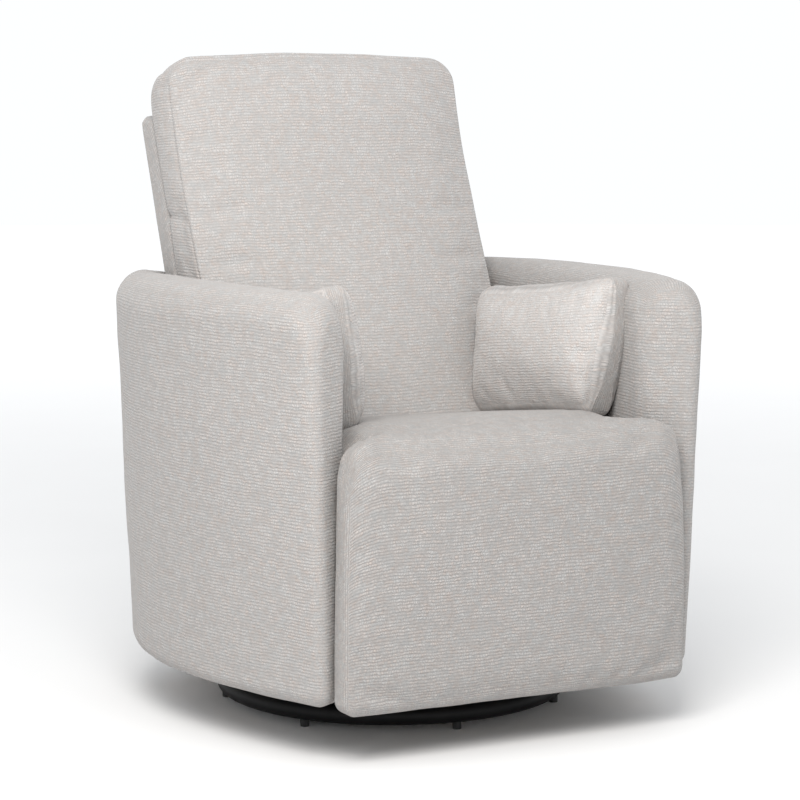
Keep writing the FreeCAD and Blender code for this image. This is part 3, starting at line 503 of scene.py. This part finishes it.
def by_length(path, count=600):
    """The same path with its points evenly spaced, and its length."""
    steps = np.linalg.norm(np.diff(path, axis=0), axis=1)
    length = np.concatenate([[0], np.cumsum(steps)])
    even = np.linspace(0, length[-1], count)
    return np.stack([np.interp(even, length, path[:, k]) for k in range(2)], axis=1), length[-1]


def shell_paths(half_width, front_y):
    """Plan of the outer and inner face, right half, from the rear centre to the front corner.

    Each comes with its length.
    """
    rear = superellipse(half_width, BARREL_REAR, BARREL_REAR_POWER, math.pi / 2, 0.0)
    front = superellipse(half_width, BARREL_FRONT, BARREL_FRONT_POWER, 0.0, FRONT_SWEEP)
    outer = np.concatenate([rear, front[1:]]) + [0, WIDEST_Y]
    outer = outer[outer[:, 1] >= front_y]
    well = superellipse(WELL_HALF, WELL_REAR, WELL_REAR_POWER, math.pi / 2, 0.0)
    y = np.linspace(0, WELL_WIDEST_Y - front_y - END_DEPTH, 200)[1:]
    x = WELL_HALF - (WELL_HALF - WELL_FRONT_X) * (y / y[-1]) ** WELL_CURVE
    inner = np.concatenate([well, np.stack([x, -y], axis=1)]) + [0, WELL_WIDEST_Y]
    return by_length(outer), by_length(inner)


def build_shell():
    """Barrel wall in one piece: both arms and the rear, with a rolled top and a seam at each side."""
    low, high = box_of("arm_left", "arm_right", "shell_rear")
    (outer, length), (inner, _) = shell_paths(high[0], low[1])
    bottom, top = low[2], high[2]
    half_length, half_height = length, (top - bottom) / 2
    stations = np.linspace(0, 1, len(outer))
    thickness = np.linalg.norm(outer - inner, axis=1)
    tangent = np.gradient(outer, axis=0)
    tangent /= np.linalg.norm(tangent, axis=1)[:, None]
    inward = np.stack([tangent[:, 1], -tangent[:, 0]], axis=1)

    def at(table, fraction):
        table = np.atleast_2d(table.T)
        return np.stack([np.interp(fraction, stations, row) for row in table], axis=-1)

    def near_top(points):
        return smoothstep(points[:, 2], half_height - ROLL_START, half_height - ROLL_FULL)

    def roll(points):
        wall = at(thickness, np.abs(points[:, 0]) / half_length)[:, 0]
        radius = CORNER + (ROLL - CORNER) * near_top(points)
        return np.minimum(radius / (wall / 2), ROLL_MOST)

    def end_round(points):
        return CORNER + END_ROLL * near_top(points)

    def place(points):
        side = np.where(points[:, 0] < 0, -1.0, 1.0)
        fraction = np.abs(points[:, 0]) / half_length
        depth = (points[:, 1] + 1) / 2
        share = (half_height + points[:, 2]) / (2 * half_height)
        dip = REAR_DIP * (1 - smoothstep(fraction, DIP_START, DIP_END)) * share ** 2
        z = bottom + 2 * half_height * share - dip
        fall = TAPER * (top - z)
        near_rear = smoothstep(0.55 - fraction, 0, 0.25)
        out = at(outer, fraction) + at(inward, fraction) * fall[:, None]
        into = at(inner, fraction)
        into[:, 1] -= fall * near_rear
        xy = out * (1 - depth)[:, None] + into * depth[:, None]
        return np.stack([xy[:, 0] * side, xy[:, 1], z], axis=1)

    def weave(axis, sign, points):
        along = points[:, 0]
        depth = (points[:, 1] + 1) / 2 * RIM_CLOTH
        if axis == 1 and sign > 0:
            return np.stack([along, 2 * half_height + RIM_CLOTH - points[:, 2]], axis=1)
        if axis == 2:
            return np.stack([along, sign * half_height + depth], axis=1)
        if axis == 0:
            return np.stack([sign * (half_length + depth), points[:, 2]], axis=1)
        return np.stack([along, points[:, 2]], axis=1)

    seam = half_length * PANEL_SEAM
    seams = [side * (seam + k * GROOVE_WIDTH) for side in (-1, 1) for k in range(-2, 3)]
    piece, points = soft_box(
        "barrel_shell", (half_length, 1.0, half_height), (CELL, 0.16, CELL),
        ((end_round, 0.040), (roll, 0.6), BOTTOM_EDGE),
        ((end_round, 0.040), (roll, 0.6), ROLL), place, weave,
        extra=(seams, (), ()))
    groove = bell(np.abs(points[:, 0]), seam, GROOVE_WIDTH) * (points[:, 1] < 0)
    push(piece, bumps(coords(piece), 0.16, 0.0022, 1) + bumps(coords(piece), 0.05, 0.0008, 2)
         - GROOVE_DEPTH * groove)
    finish_piece(piece, "carriage", ["arm_left", "arm_right", "shell_rear"])


# ---------------------------------------------------------------- back

LEAN = math.radians(21.55)
SEAM_Z, SEAM_Y = 0.66, 0.158
BACK_HALF = 0.259
BACK_CORNER = 0.042
GUSSET_FLARE = 0.007
SLAB_PROUD = 0.006
TUCK_Z, TUCK_DEPTH = 0.742, 0.0035     # the short crease across the side of the cushion
PUFF = 0.004             # how far the side swells above and below the crease
SIDE_SEAM_DEPTH = 0.0022
BACK_CROWN = 0.030
TOP_REACH = 0.25         # distance below the top edge over which its fall runs out
CROWN_REACH = 0.10       # distance below the top edge over which the crown grows
TOP_BOW = 0.010          # how much lower the top edge is at its corners
REAR_DROP, REAR_SLOPE = 0.008, 0.003   # fall of the top from the face to the rear edge
GUSSET_CLOTH = 0.078     # length of cloth over the gusset
BACK_FLARE_CORNER = 0.018
SLAB_THICK = 0.051
DIVIDE_Z = 0.3713        # height at which the plane passes the slab's foremost edge
SLAB_CORNER = 0.018


def round_corners(x, z, half, top, radius):
    """Bends the two upper corners of a rectangle in the XZ plane to quarter circles."""
    a = np.clip((np.abs(x) - (half - radius)) / radius, 0, 1)
    b = np.clip((z - (top - radius)) / radius, 0, 1)
    inside = (a > 0) & (b > 0)
    new_x = np.where(inside, half - radius + radius * a * np.sqrt(1 - b * b / 2), np.abs(x))
    new_z = np.where(inside, top - radius + radius * b * np.sqrt(1 - a * a / 2), z)
    return np.sign(x) * new_x, new_z


def front_seam(z):
    """Depth of the seam round the front of the back cushion at each height."""
    rise = z - SEAM_Z
    return SEAM_Y + np.where(rise > 0, 0.5364 * rise - 0.464 * rise ** 2, 0.49 * rise)


def divide(z):
    """Depth of the plane between back cushion and outer panel."""
    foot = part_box("back_outer_panel")[0]
    return foot[1] + (z - DIVIDE_Z) * math.tan(LEAN)


def build_back_cushion():
    """Boxed cushion: crowned face, seam round the face, gusset that widens towards its rear edge."""
    low, high = box_of("back_cushion")
    middle, half_height = (low[2] + high[2]) / 2, (high[2] - low[2]) / 2

    def place(points):
        depth = (points[:, 1] + 1) / 2
        radius = BACK_CORNER + BACK_FLARE_CORNER * depth
        x, z = round_corners(points[:, 0], middle + points[:, 2], BACK_HALF, high[2], radius)
        across = 1 - (x / BACK_HALF) ** 2
        upper = smoothstep(z, high[2] - TOP_REACH, high[2])
        z = z - (TOP_BOW * (1 - across) + REAR_DROP * depth ** 2 + REAR_SLOPE * depth) * upper
        share = np.clip((high[2] - z) / CROWN_REACH, 0, 1) ** 0.6
        crown = BACK_CROWN * np.clip(across, 0, 1) ** 0.75 * share
        front = front_seam(z) - crown
        rear = np.minimum(divide(z) - 0.0005, high[1] - 0.012)
        wider = 1 + (GUSSET_FLARE / BACK_HALF) * smoothstep(depth, 0.05, 0.9)
        return np.stack([x * wider, front + depth * (rear - front), z], axis=1)

    def weave(axis, sign, points):
        depth = (points[:, 1] + 1) / 2 * GUSSET_CLOTH
        if axis == 0:
            return np.stack([depth + 0.3 * sign, points[:, 2]], axis=1)
        if axis == 2:
            return np.stack([points[:, 0], half_height * sign + depth], axis=1)
        return np.stack([points[:, 0], points[:, 2]], axis=1)

    piece, points = soft_box(
        "back_cushion_cover", (BACK_HALF, 1.0, half_height), (CELL, 0.25, CELL),
        (0.009, 0.24, 0.012), (0.009, 0.20, 0.026), place, weave)
    edge = np.maximum(np.abs(points[:, 0]) / BACK_HALF, np.abs(points[:, 2]) / half_height)
    held = np.maximum(bell(edge, 1.0, 0.02) * (points[:, 1] < -0.6), (points[:, 1] > 0.2) * 1.0)
    inflate(piece, held, pressure=2.5, cap=0.008)
    subdivide(piece)
    spots = coords(piece)
    behind = spots[:, 1] - front_seam(spots[:, 2])
    on_side = smoothstep(np.abs(spots[:, 0]), BACK_HALF - 0.008, BACK_HALF - 0.002)
    seam = bell(behind, 0.007, 0.003) * on_side * smoothstep(high[2] - spots[:, 2], 0.03, 0.06)
    tuck = bell(spots[:, 2], TUCK_Z + 0.1 * behind, 0.005) * on_side * smoothstep(behind, 0.008, 0.016)
    puff = PUFF * on_side * bell(behind, 0.040, 0.024) * (1 - bell(spots[:, 2], TUCK_Z, 0.03))
    push(piece, bumps(spots, 0.11, 0.0018, 3) - TUCK_DEPTH * tuck - SIDE_SEAM_DEPTH * seam + puff)
    # Painted light: the back cushion's fabric is painted a little lighter.
    finish_piece(piece, "back", ["back_cushion"], nap_and_painted_light=0.06)


def build_outer_panel():
    """Upholstered slab behind the back cushion, leaning with it."""
    low, high = box_of("back_outer_panel")
    half, thick = high[0] + SLAB_PROUD, SLAB_THICK
    slope = Vector((0, math.sin(LEAN), math.cos(LEAN)))
    depth_way = Vector((0, math.cos(LEAN), -math.sin(LEAN)))
    length = (high[2] - low[2] - thick * math.sin(LEAN)) / math.cos(LEAN)
    foot = Vector((0, low[1], low[2] + thick * math.sin(LEAN)))
    half_length = length / 2

    def place(points):
        x, along = round_corners(points[:, 0], points[:, 2], half, half_length, SLAB_CORNER)
        depth = points[:, 1] + thick / 2
        level = smoothstep(along, half_length - 0.12, half_length)
        along = along + half_length + (depth * math.tan(LEAN) + 0.003) * level
        return (np.array(foot)[None, :] + x[:, None] * np.array([1.0, 0, 0])
                + depth[:, None] * np.array(depth_way) + along[:, None] * np.array(slope))

    def weave(axis, sign, points):
        if axis == 0:
            turned = points[:, 2] * 0.75 + points[:, 1] * 0.66
            return np.stack([points[:, 1] * 0.75 - points[:, 2] * 0.66, turned], axis=1)
        if axis == 2:
            return np.stack([points[:, 0], points[:, 1]], axis=1)
        return np.stack([points[:, 0], points[:, 2]], axis=1)

    piece, points = soft_box(
        "back_panel_cover", (half, thick / 2, half_length), (CELL, 0.01, CELL),
        (0.010, 0.010, 0.010), (0.010, 0.010, 0.012), place, weave)
    spots = coords(piece)
    crown = 0.004 * (1 - (points[:, 0] / half) ** 2) * (points[:, 1] > 0)
    push(piece, crown + bumps(spots, 0.13, 0.0015, 4) - 0.0005)
    finish_piece(piece, "back", ["back_outer_panel"])


# ---------------------------------------------------------------- seat and footrest

PANEL_HALF = 0.282
SHOULDER_X, SHOULDER_Z = 0.064, 0.052
NOSE_HALF = 0.237
NOSE_DEPTH = 0.042
PANEL_BULGE = 0.009
BULGE_Z, BULGE_REACH = 0.27, 0.25
PANEL_NARROWING = 0.018  # how much narrower the panel is above, as a share of its width
NARROW_START, NARROW_END = 0.20, 0.42
PANEL_CLOTH = 0.05       # length of cloth over the panel's edges
SEAT_FALL, SEAT_CROWN = 0.040, 0.006
FALL_START = 0.06        # distance behind the seat's front edge where its fall starts
FRONT_REACH = 0.12       # distance over which the front edge's own shape runs out
CORNER_FALL = 0.030
CORNER_START, CORNER_END = 0.185, 0.238


def panel_top(x, top):
    """Height of the footrest's upper edge: level in the middle, falling at both shoulders."""
    out = np.clip((np.abs(x) - (PANEL_HALF - SHOULDER_X)) / SHOULDER_X, 0, 1)
    return top - SHOULDER_Z + SHOULDER_Z * np.sqrt(1 - 0.93 * out ** 2)


def corner_fall(x):
    """How far the seat and the nose in front of it sink towards both sides."""
    return CORNER_FALL * smoothstep(np.abs(x), CORNER_START, CORNER_END) ** 1.5


def build_footrest_pad():
    """Front panel with rounded shoulders, and the nose that reaches back from its top to the seat."""
    low, high = box_of("footrest_pad")
    half_height = (high[2] - low[2]) / 2
    front, nose_back = low[1], high[1]
    panel_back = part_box("footrest_board")[0][1] - 0.0003

    def place(points):
        x, share = points[:, 0], (points[:, 2] + half_height) / (2 * half_height)
        top = panel_top(x, high[2] + 0.002)
        z = low[2] + share * (top - low[2])
        nose = smoothstep(NOSE_HALF - np.abs(x), -0.004, 0.012)
        rise = smoothstep(z - (top - NOSE_DEPTH), 0, 0.008)
        back = panel_back + (nose_back - panel_back) * nose * rise
        flat = 1 - np.clip(np.abs(x) / PANEL_HALF, 0, 1) ** 4
        middle = 1 - ((z - BULGE_Z) / BULGE_REACH) ** 2
        ahead = front + PANEL_BULGE - PANEL_BULGE * np.clip(flat, 0, 1) * np.clip(middle, 0, 1)
        depth = (points[:, 1] + 1) / 2
        near_top = np.clip((z - (top - NOSE_DEPTH)) / NOSE_DEPTH, 0, 1)
        slope = (0.001 + corner_fall(x) * nose) * smoothstep(depth * rise, 0.45, 1.0) * near_top
        wider = 1.0 - PANEL_NARROWING * smoothstep(z, NARROW_START, NARROW_END)
        return np.stack([x * wider, ahead + depth * (back - ahead), z - slope], axis=1)

    def weave(axis, sign, points):
        depth = (points[:, 1] + 1) / 2 * PANEL_CLOTH
        if axis == 0:
            return np.stack([points[:, 2], depth], axis=1)
        if axis == 2:
            return np.stack([points[:, 0], sign * half_height + depth * 1.8], axis=1)
        return np.stack([points[:, 0], points[:, 2]], axis=1)

    def front_round(points):
        upper = smoothstep(points[:, 2], half_height - 0.10, half_height - 0.05)
        return 0.5 + 0.47 * upper

    def top_round(points):
        return 0.062 - 0.056 * smoothstep(points[:, 1], 0.0, 0.9)

    piece, points = soft_box(
        "footrest_cover", (PANEL_HALF, 1.0, half_height), (CELL, 0.2, CELL),
        (0.018, (front_round, 0.6), 0.022), (0.018, 0.10, (top_round, 0.062)), place, weave)
    sides = bell(np.abs(points[:, 0]), PANEL_HALF, 0.01)
    held = np.maximum(sides, (points[:, 1] > 0.3) * 1.0)
    held = np.maximum(held, bell(points[:, 2], -half_height, 0.012))
    inflate(piece, held, pressure=2.0, cap=0.006)
    subdivide(piece)
    push(piece, bumps(coords(piece), 0.12, 0.0018, 5) + bumps(coords(piece), 0.045, 0.0006, 6))
    # Painted shade: the footrest's fabric is painted a little darker.
    finish_piece(piece, "footrest", ["footrest_pad"], nap_and_painted_light=-0.06)


def build_seat():
    """Seat cushion: falls towards the back, and sinks at its front corners."""
    low, high = box_of("seat_cushion")
    half, half_depth = high[0], (high[1] - low[1]) / 2
    middle = (high[1] + low[1]) / 2
    half_height = (high[2] - low[2]) / 2

    def place(points):
        x, y = points[:, 0], middle + points[:, 1]
        share = (points[:, 2] + half_height) / (2 * half_height)
        behind = np.clip((y - low[1] - FALL_START) / (high[1] - low[1] - FALL_START), 0, 1)
        top = high[2] - 0.0005 - SEAT_FALL * behind
        top = top + SEAT_CROWN * (1 - (x / half) ** 2) * smoothstep(y, low[1] + 0.02, low[1] + FRONT_REACH)
        top = top - corner_fall(x) * (1 - 0.8 * smoothstep(y, low[1], low[1] + FRONT_REACH))
        return np.stack([x, y, low[2] + share * (top - low[2])], axis=1)

    def weave(axis, sign, points):
        if axis == 2:
            return np.stack([points[:, 0], points[:, 1]], axis=1)
        if axis == 1:
            return np.stack([points[:, 0], points[:, 2] + sign * half_depth], axis=1)
        return np.stack([points[:, 1], points[:, 2]], axis=1)

    piece, points = soft_box(
        "seat_cover", (half, half_depth, half_height), (CELL, CELL, 0.012),
        (0.010, 0.004, 0.010), (0.010, 0.015, 0.016), place, weave)
    held = np.maximum(bell(points[:, 1], -half_depth, 0.012), (points[:, 2] < 0) * 1.0)
    held = np.maximum(held, (np.abs(points[:, 0]) > half - 0.004) * 1.0)
    inflate(piece, held, pressure=1.5, cap=0.005)
    subdivide(piece)
    spots = coords(piece)
    push(piece, bumps(spots, 0.12, 0.0018, 7) * smoothstep(spots[:, 1], low[1], low[1] + 0.05))
    # Painted shade: the seat's fabric is painted a little darker.
    finish_piece(piece, "seat", ["seat_cushion"], nap_and_painted_light=-0.05)


# ---------------------------------------------------------------- pillows

PILLOW_GUSSET = 0.026
PILLOW_HALF_THICK = 0.046
PILLOW_LEAN = 0.034      # half thickness on the side that lies against the arm
PILLOW_SHIFT = {"left": (-0.005, -0.004, -0.004), "right": (0.021, -0.004, -0.007)}
PILLOW_PITCH, PILLOW_YAW, PILLOW_ROLL = math.radians(-6), math.radians(6), math.radians(7)
PILLOW_HALF_LONG, PILLOW_HALF_TALL = 0.181, 0.108
PILLOW_CORNER, PILLOW_TIGHT = 0.052, 0.030
PILLOW_SLUMP = 0.034
PULL_LONG, PULL_TALL = 0.020, 0.06     # shares by which the sides pull in between the corners
HALF_GUSSET_CLOTH = 0.025


def build_pillow(word, side):
    """Boxed pillow that leans along the arm: two puffed faces and a gusset between their seams."""
    low, high = box_of("arm_pillow_" + word)
    centre = (low + high) / 2
    centre += PILLOW_SHIFT[word]
    half_long, half_tall = PILLOW_HALF_LONG, PILLOW_HALF_TALL
    pitch, yaw, roll = PILLOW_PITCH, PILLOW_YAW * side, PILLOW_ROLL * side
    tilt = np.array([[1, 0, 0], [0, math.cos(pitch), -math.sin(pitch)],
                     [0, math.sin(pitch), math.cos(pitch)]])
    turn = np.array([[math.cos(yaw), -math.sin(yaw), 0], [math.sin(yaw), math.cos(yaw), 0], [0, 0, 1]])
    turn = turn @ np.array([[math.cos(roll), 0, math.sin(roll)], [0, 1, 0],
                            [-math.sin(roll), 0, math.cos(roll)]])

    def place(points):
        y, z = points[:, 1] / half_long, points[:, 2] / half_tall
        y2, z2 = np.clip(y * y, 0, 1), np.clip(z * z, 0, 1)
        pull_y = 1 - PULL_LONG * (1 - z2)
        pull_z = 1 - PULL_TALL * (1 - y2)
        puff = (1 - y2 * y2) ** 0.6 * (1 - z2 * z2) ** 0.6
        spread = PILLOW_GUSSET / 2 + (PILLOW_HALF_THICK - PILLOW_GUSSET / 2) * puff
        out = np.clip(-y - 0.45, 0, 1) / 0.55
        slump = PILLOW_SLUMP * out ** 2 * smoothstep(-z, -0.3, 1.0)
        spread = np.where(points[:, 0] * side > 0, np.minimum(spread, PILLOW_LEAN), spread)
        local = np.stack([points[:, 0] * spread, y * half_long * pull_y + slump, z * half_tall * pull_z],
                         axis=1)
        return centre + local @ tilt.T @ turn.T

    def weave(axis, sign, points):
        if axis == 1:
            return np.stack([points[:, 2], points[:, 0] * HALF_GUSSET_CLOTH], axis=1)
        if axis == 2:
            return np.stack([points[:, 1], points[:, 0] * HALF_GUSSET_CLOTH], axis=1)
        return np.stack([points[:, 1], points[:, 2]], axis=1)

    def corner(points):
        """Rounding of the outline seen from the side: tight only at the upper front corner."""
        front = smoothstep(-points[:, 1], 0.05, 0.12)
        upper = smoothstep(points[:, 2], 0.0, 0.06)
        return PILLOW_CORNER - PILLOW_TIGHT * front * upper

    piece, points = soft_box(
        "pillow_" + word, (1.0, half_long, half_tall), (0.25, 0.008, 0.008),
        (0.30, (corner, PILLOW_CORNER), (corner, PILLOW_CORNER)),
        (0.30, (corner, PILLOW_CORNER), (corner, PILLOW_CORNER)), place, weave)
    edge = np.maximum(np.abs(points[:, 1]) / half_long, np.abs(points[:, 2]) / half_tall)
    held = bell(edge, 1.0, 0.03) * 0.9
    inflate(piece, held, pressure=5.0, cap=0.010, tension=12, bend=0.25)
    subdivide(piece)
    spots = coords(piece)
    push(piece, bumps(spots, 0.09, 0.0024, 8 + side) + bumps(spots, 0.035, 0.0010, 11 + side))
    # Painted light: the pillow's two broad faces, turned to the sides, are painted lighter than its
    # gusset.
    broad = smoothstep(np.abs(normals(piece)[:, 0]), 0.45, 0.85)
    finish_piece(piece, "seat", ["arm_pillow_" + word], nap_and_painted_light=0.02 + 0.21 * broad)


# ---------------------------------------------------------------- floor, light and camera

FLOOR_REACH, FLOOR_CORNERS = 14.0, 96
FADE_REACH, FADE_START, FADE_LIGHT = 6.0, 0.15, 0.24
BACKDROP = (0.97, 0.985, 1.0, 1)
BACKDROP_STRENGTH = 1.02
KEY_SPOT, KEY_SIZE, KEY_POWER = (-1.1, -1.75, 2.0), (1.2, 1.2), 62
KEY_TONE = (1.0, 0.975, 0.945)
KEY_TARGET = (0.0, 0.0, 0.5)
LENS, SENSOR = 115.3, 36.0
CAMERA_DISTANCE, CAMERA_AZIMUTH, CAMERA_HEIGHT = 3.997, math.radians(26.746), 0.9553
CAMERA_PITCH, CAMERA_YAW = math.radians(-6.98), math.radians(26.929)


def build_stage():
    """Pale floor with a painted glow that grows far away to meet the white backdrop."""
    n = Nodes("pale_floor")
    place = object_place(n)
    tone = n.mix(n.noise(place, 3.0, 2.0), (0.77, 0.77, 0.77, 1), (0.79, 0.79, 0.79, 1))
    n.set(Base_Color=tone, Roughness=0.85)
    spot = n.add("SeparateXYZ", {0: place})
    away = n.math("SQRT", n.math("ADD", n.math("POWER", spot.outputs[0], 2.0),
                                 n.math("POWER", spot.outputs[1], 2.0)))
    # Painted glow: the floor gives off more light with distance, though it is no lamp.
    painted_glow = n.ramp(n.math("DIVIDE", away, FADE_REACH), FADE_START, 1.0)
    n.set(Emission_Strength=n.math("MULTIPLY", painted_glow, FADE_LIGHT))
    n.shader.inputs["Emission Color"].default_value = (0.985, 0.992, 1.0, 1)
    mesh = bpy.data.meshes.new("floor")
    turns = [2 * math.pi * k / FLOOR_CORNERS for k in range(FLOOR_CORNERS)]
    edge = [(FLOOR_REACH * math.cos(turn), FLOOR_REACH * math.sin(turn), 0) for turn in turns]
    mesh.from_pydata(edge, [], [list(range(FLOOR_CORNERS))])
    mesh.materials.append(n.material)
    floor = bpy.data.objects.new("floor", mesh)
    bpy.context.scene.collection.objects.link(floor)

    world = bpy.data.worlds.new("studio")
    bpy.context.scene.world = world
    world.use_nodes = True
    world.node_tree.nodes["Background"].inputs["Color"].default_value = BACKDROP
    world.node_tree.nodes["Background"].inputs["Strength"].default_value = BACKDROP_STRENGTH


def build_light():
    """Soft warm key light from the upper left of the picture; the white backdrop fills the rest."""
    data = bpy.data.lights.new("key", "AREA")
    data.shape = "RECTANGLE"
    data.size, data.size_y = KEY_SIZE
    data.energy = KEY_POWER
    data.color = KEY_TONE
    light = bpy.data.objects.new("key", data)
    light.location = KEY_SPOT
    light.visible_camera = False
    aim = Vector(KEY_TARGET) - Vector(KEY_SPOT)
    light.rotation_euler = aim.to_track_quat("-Z", "Y").to_euler()
    bpy.context.scene.collection.objects.link(light)


def build_camera():
    data = bpy.data.cameras.new("camera")
    data.lens, data.sensor_width = LENS, SENSOR
    camera = bpy.data.objects.new("camera", data)
    camera.location = (-CAMERA_DISTANCE * math.sin(CAMERA_AZIMUTH),
                       -CAMERA_DISTANCE * math.cos(CAMERA_AZIMUTH), CAMERA_HEIGHT)
    camera.rotation_euler = (math.pi / 2 + CAMERA_PITCH, 0, -CAMERA_YAW)
    bpy.context.scene.collection.objects.link(camera)
    bpy.context.scene.camera = camera


# ---------------------------------------------------------------- everything

dress_cad_nodes()
build_shell()
build_back_cushion()
build_outer_panel()
build_footrest_pad()
build_seat()
for pillow_word, pillow_side in (("left", -1), ("right", 1)):
    build_pillow(pillow_word, pillow_side)
build_stage()
build_light()
build_camera()
bpy.context.scene.view_settings.view_transform = "Standard"
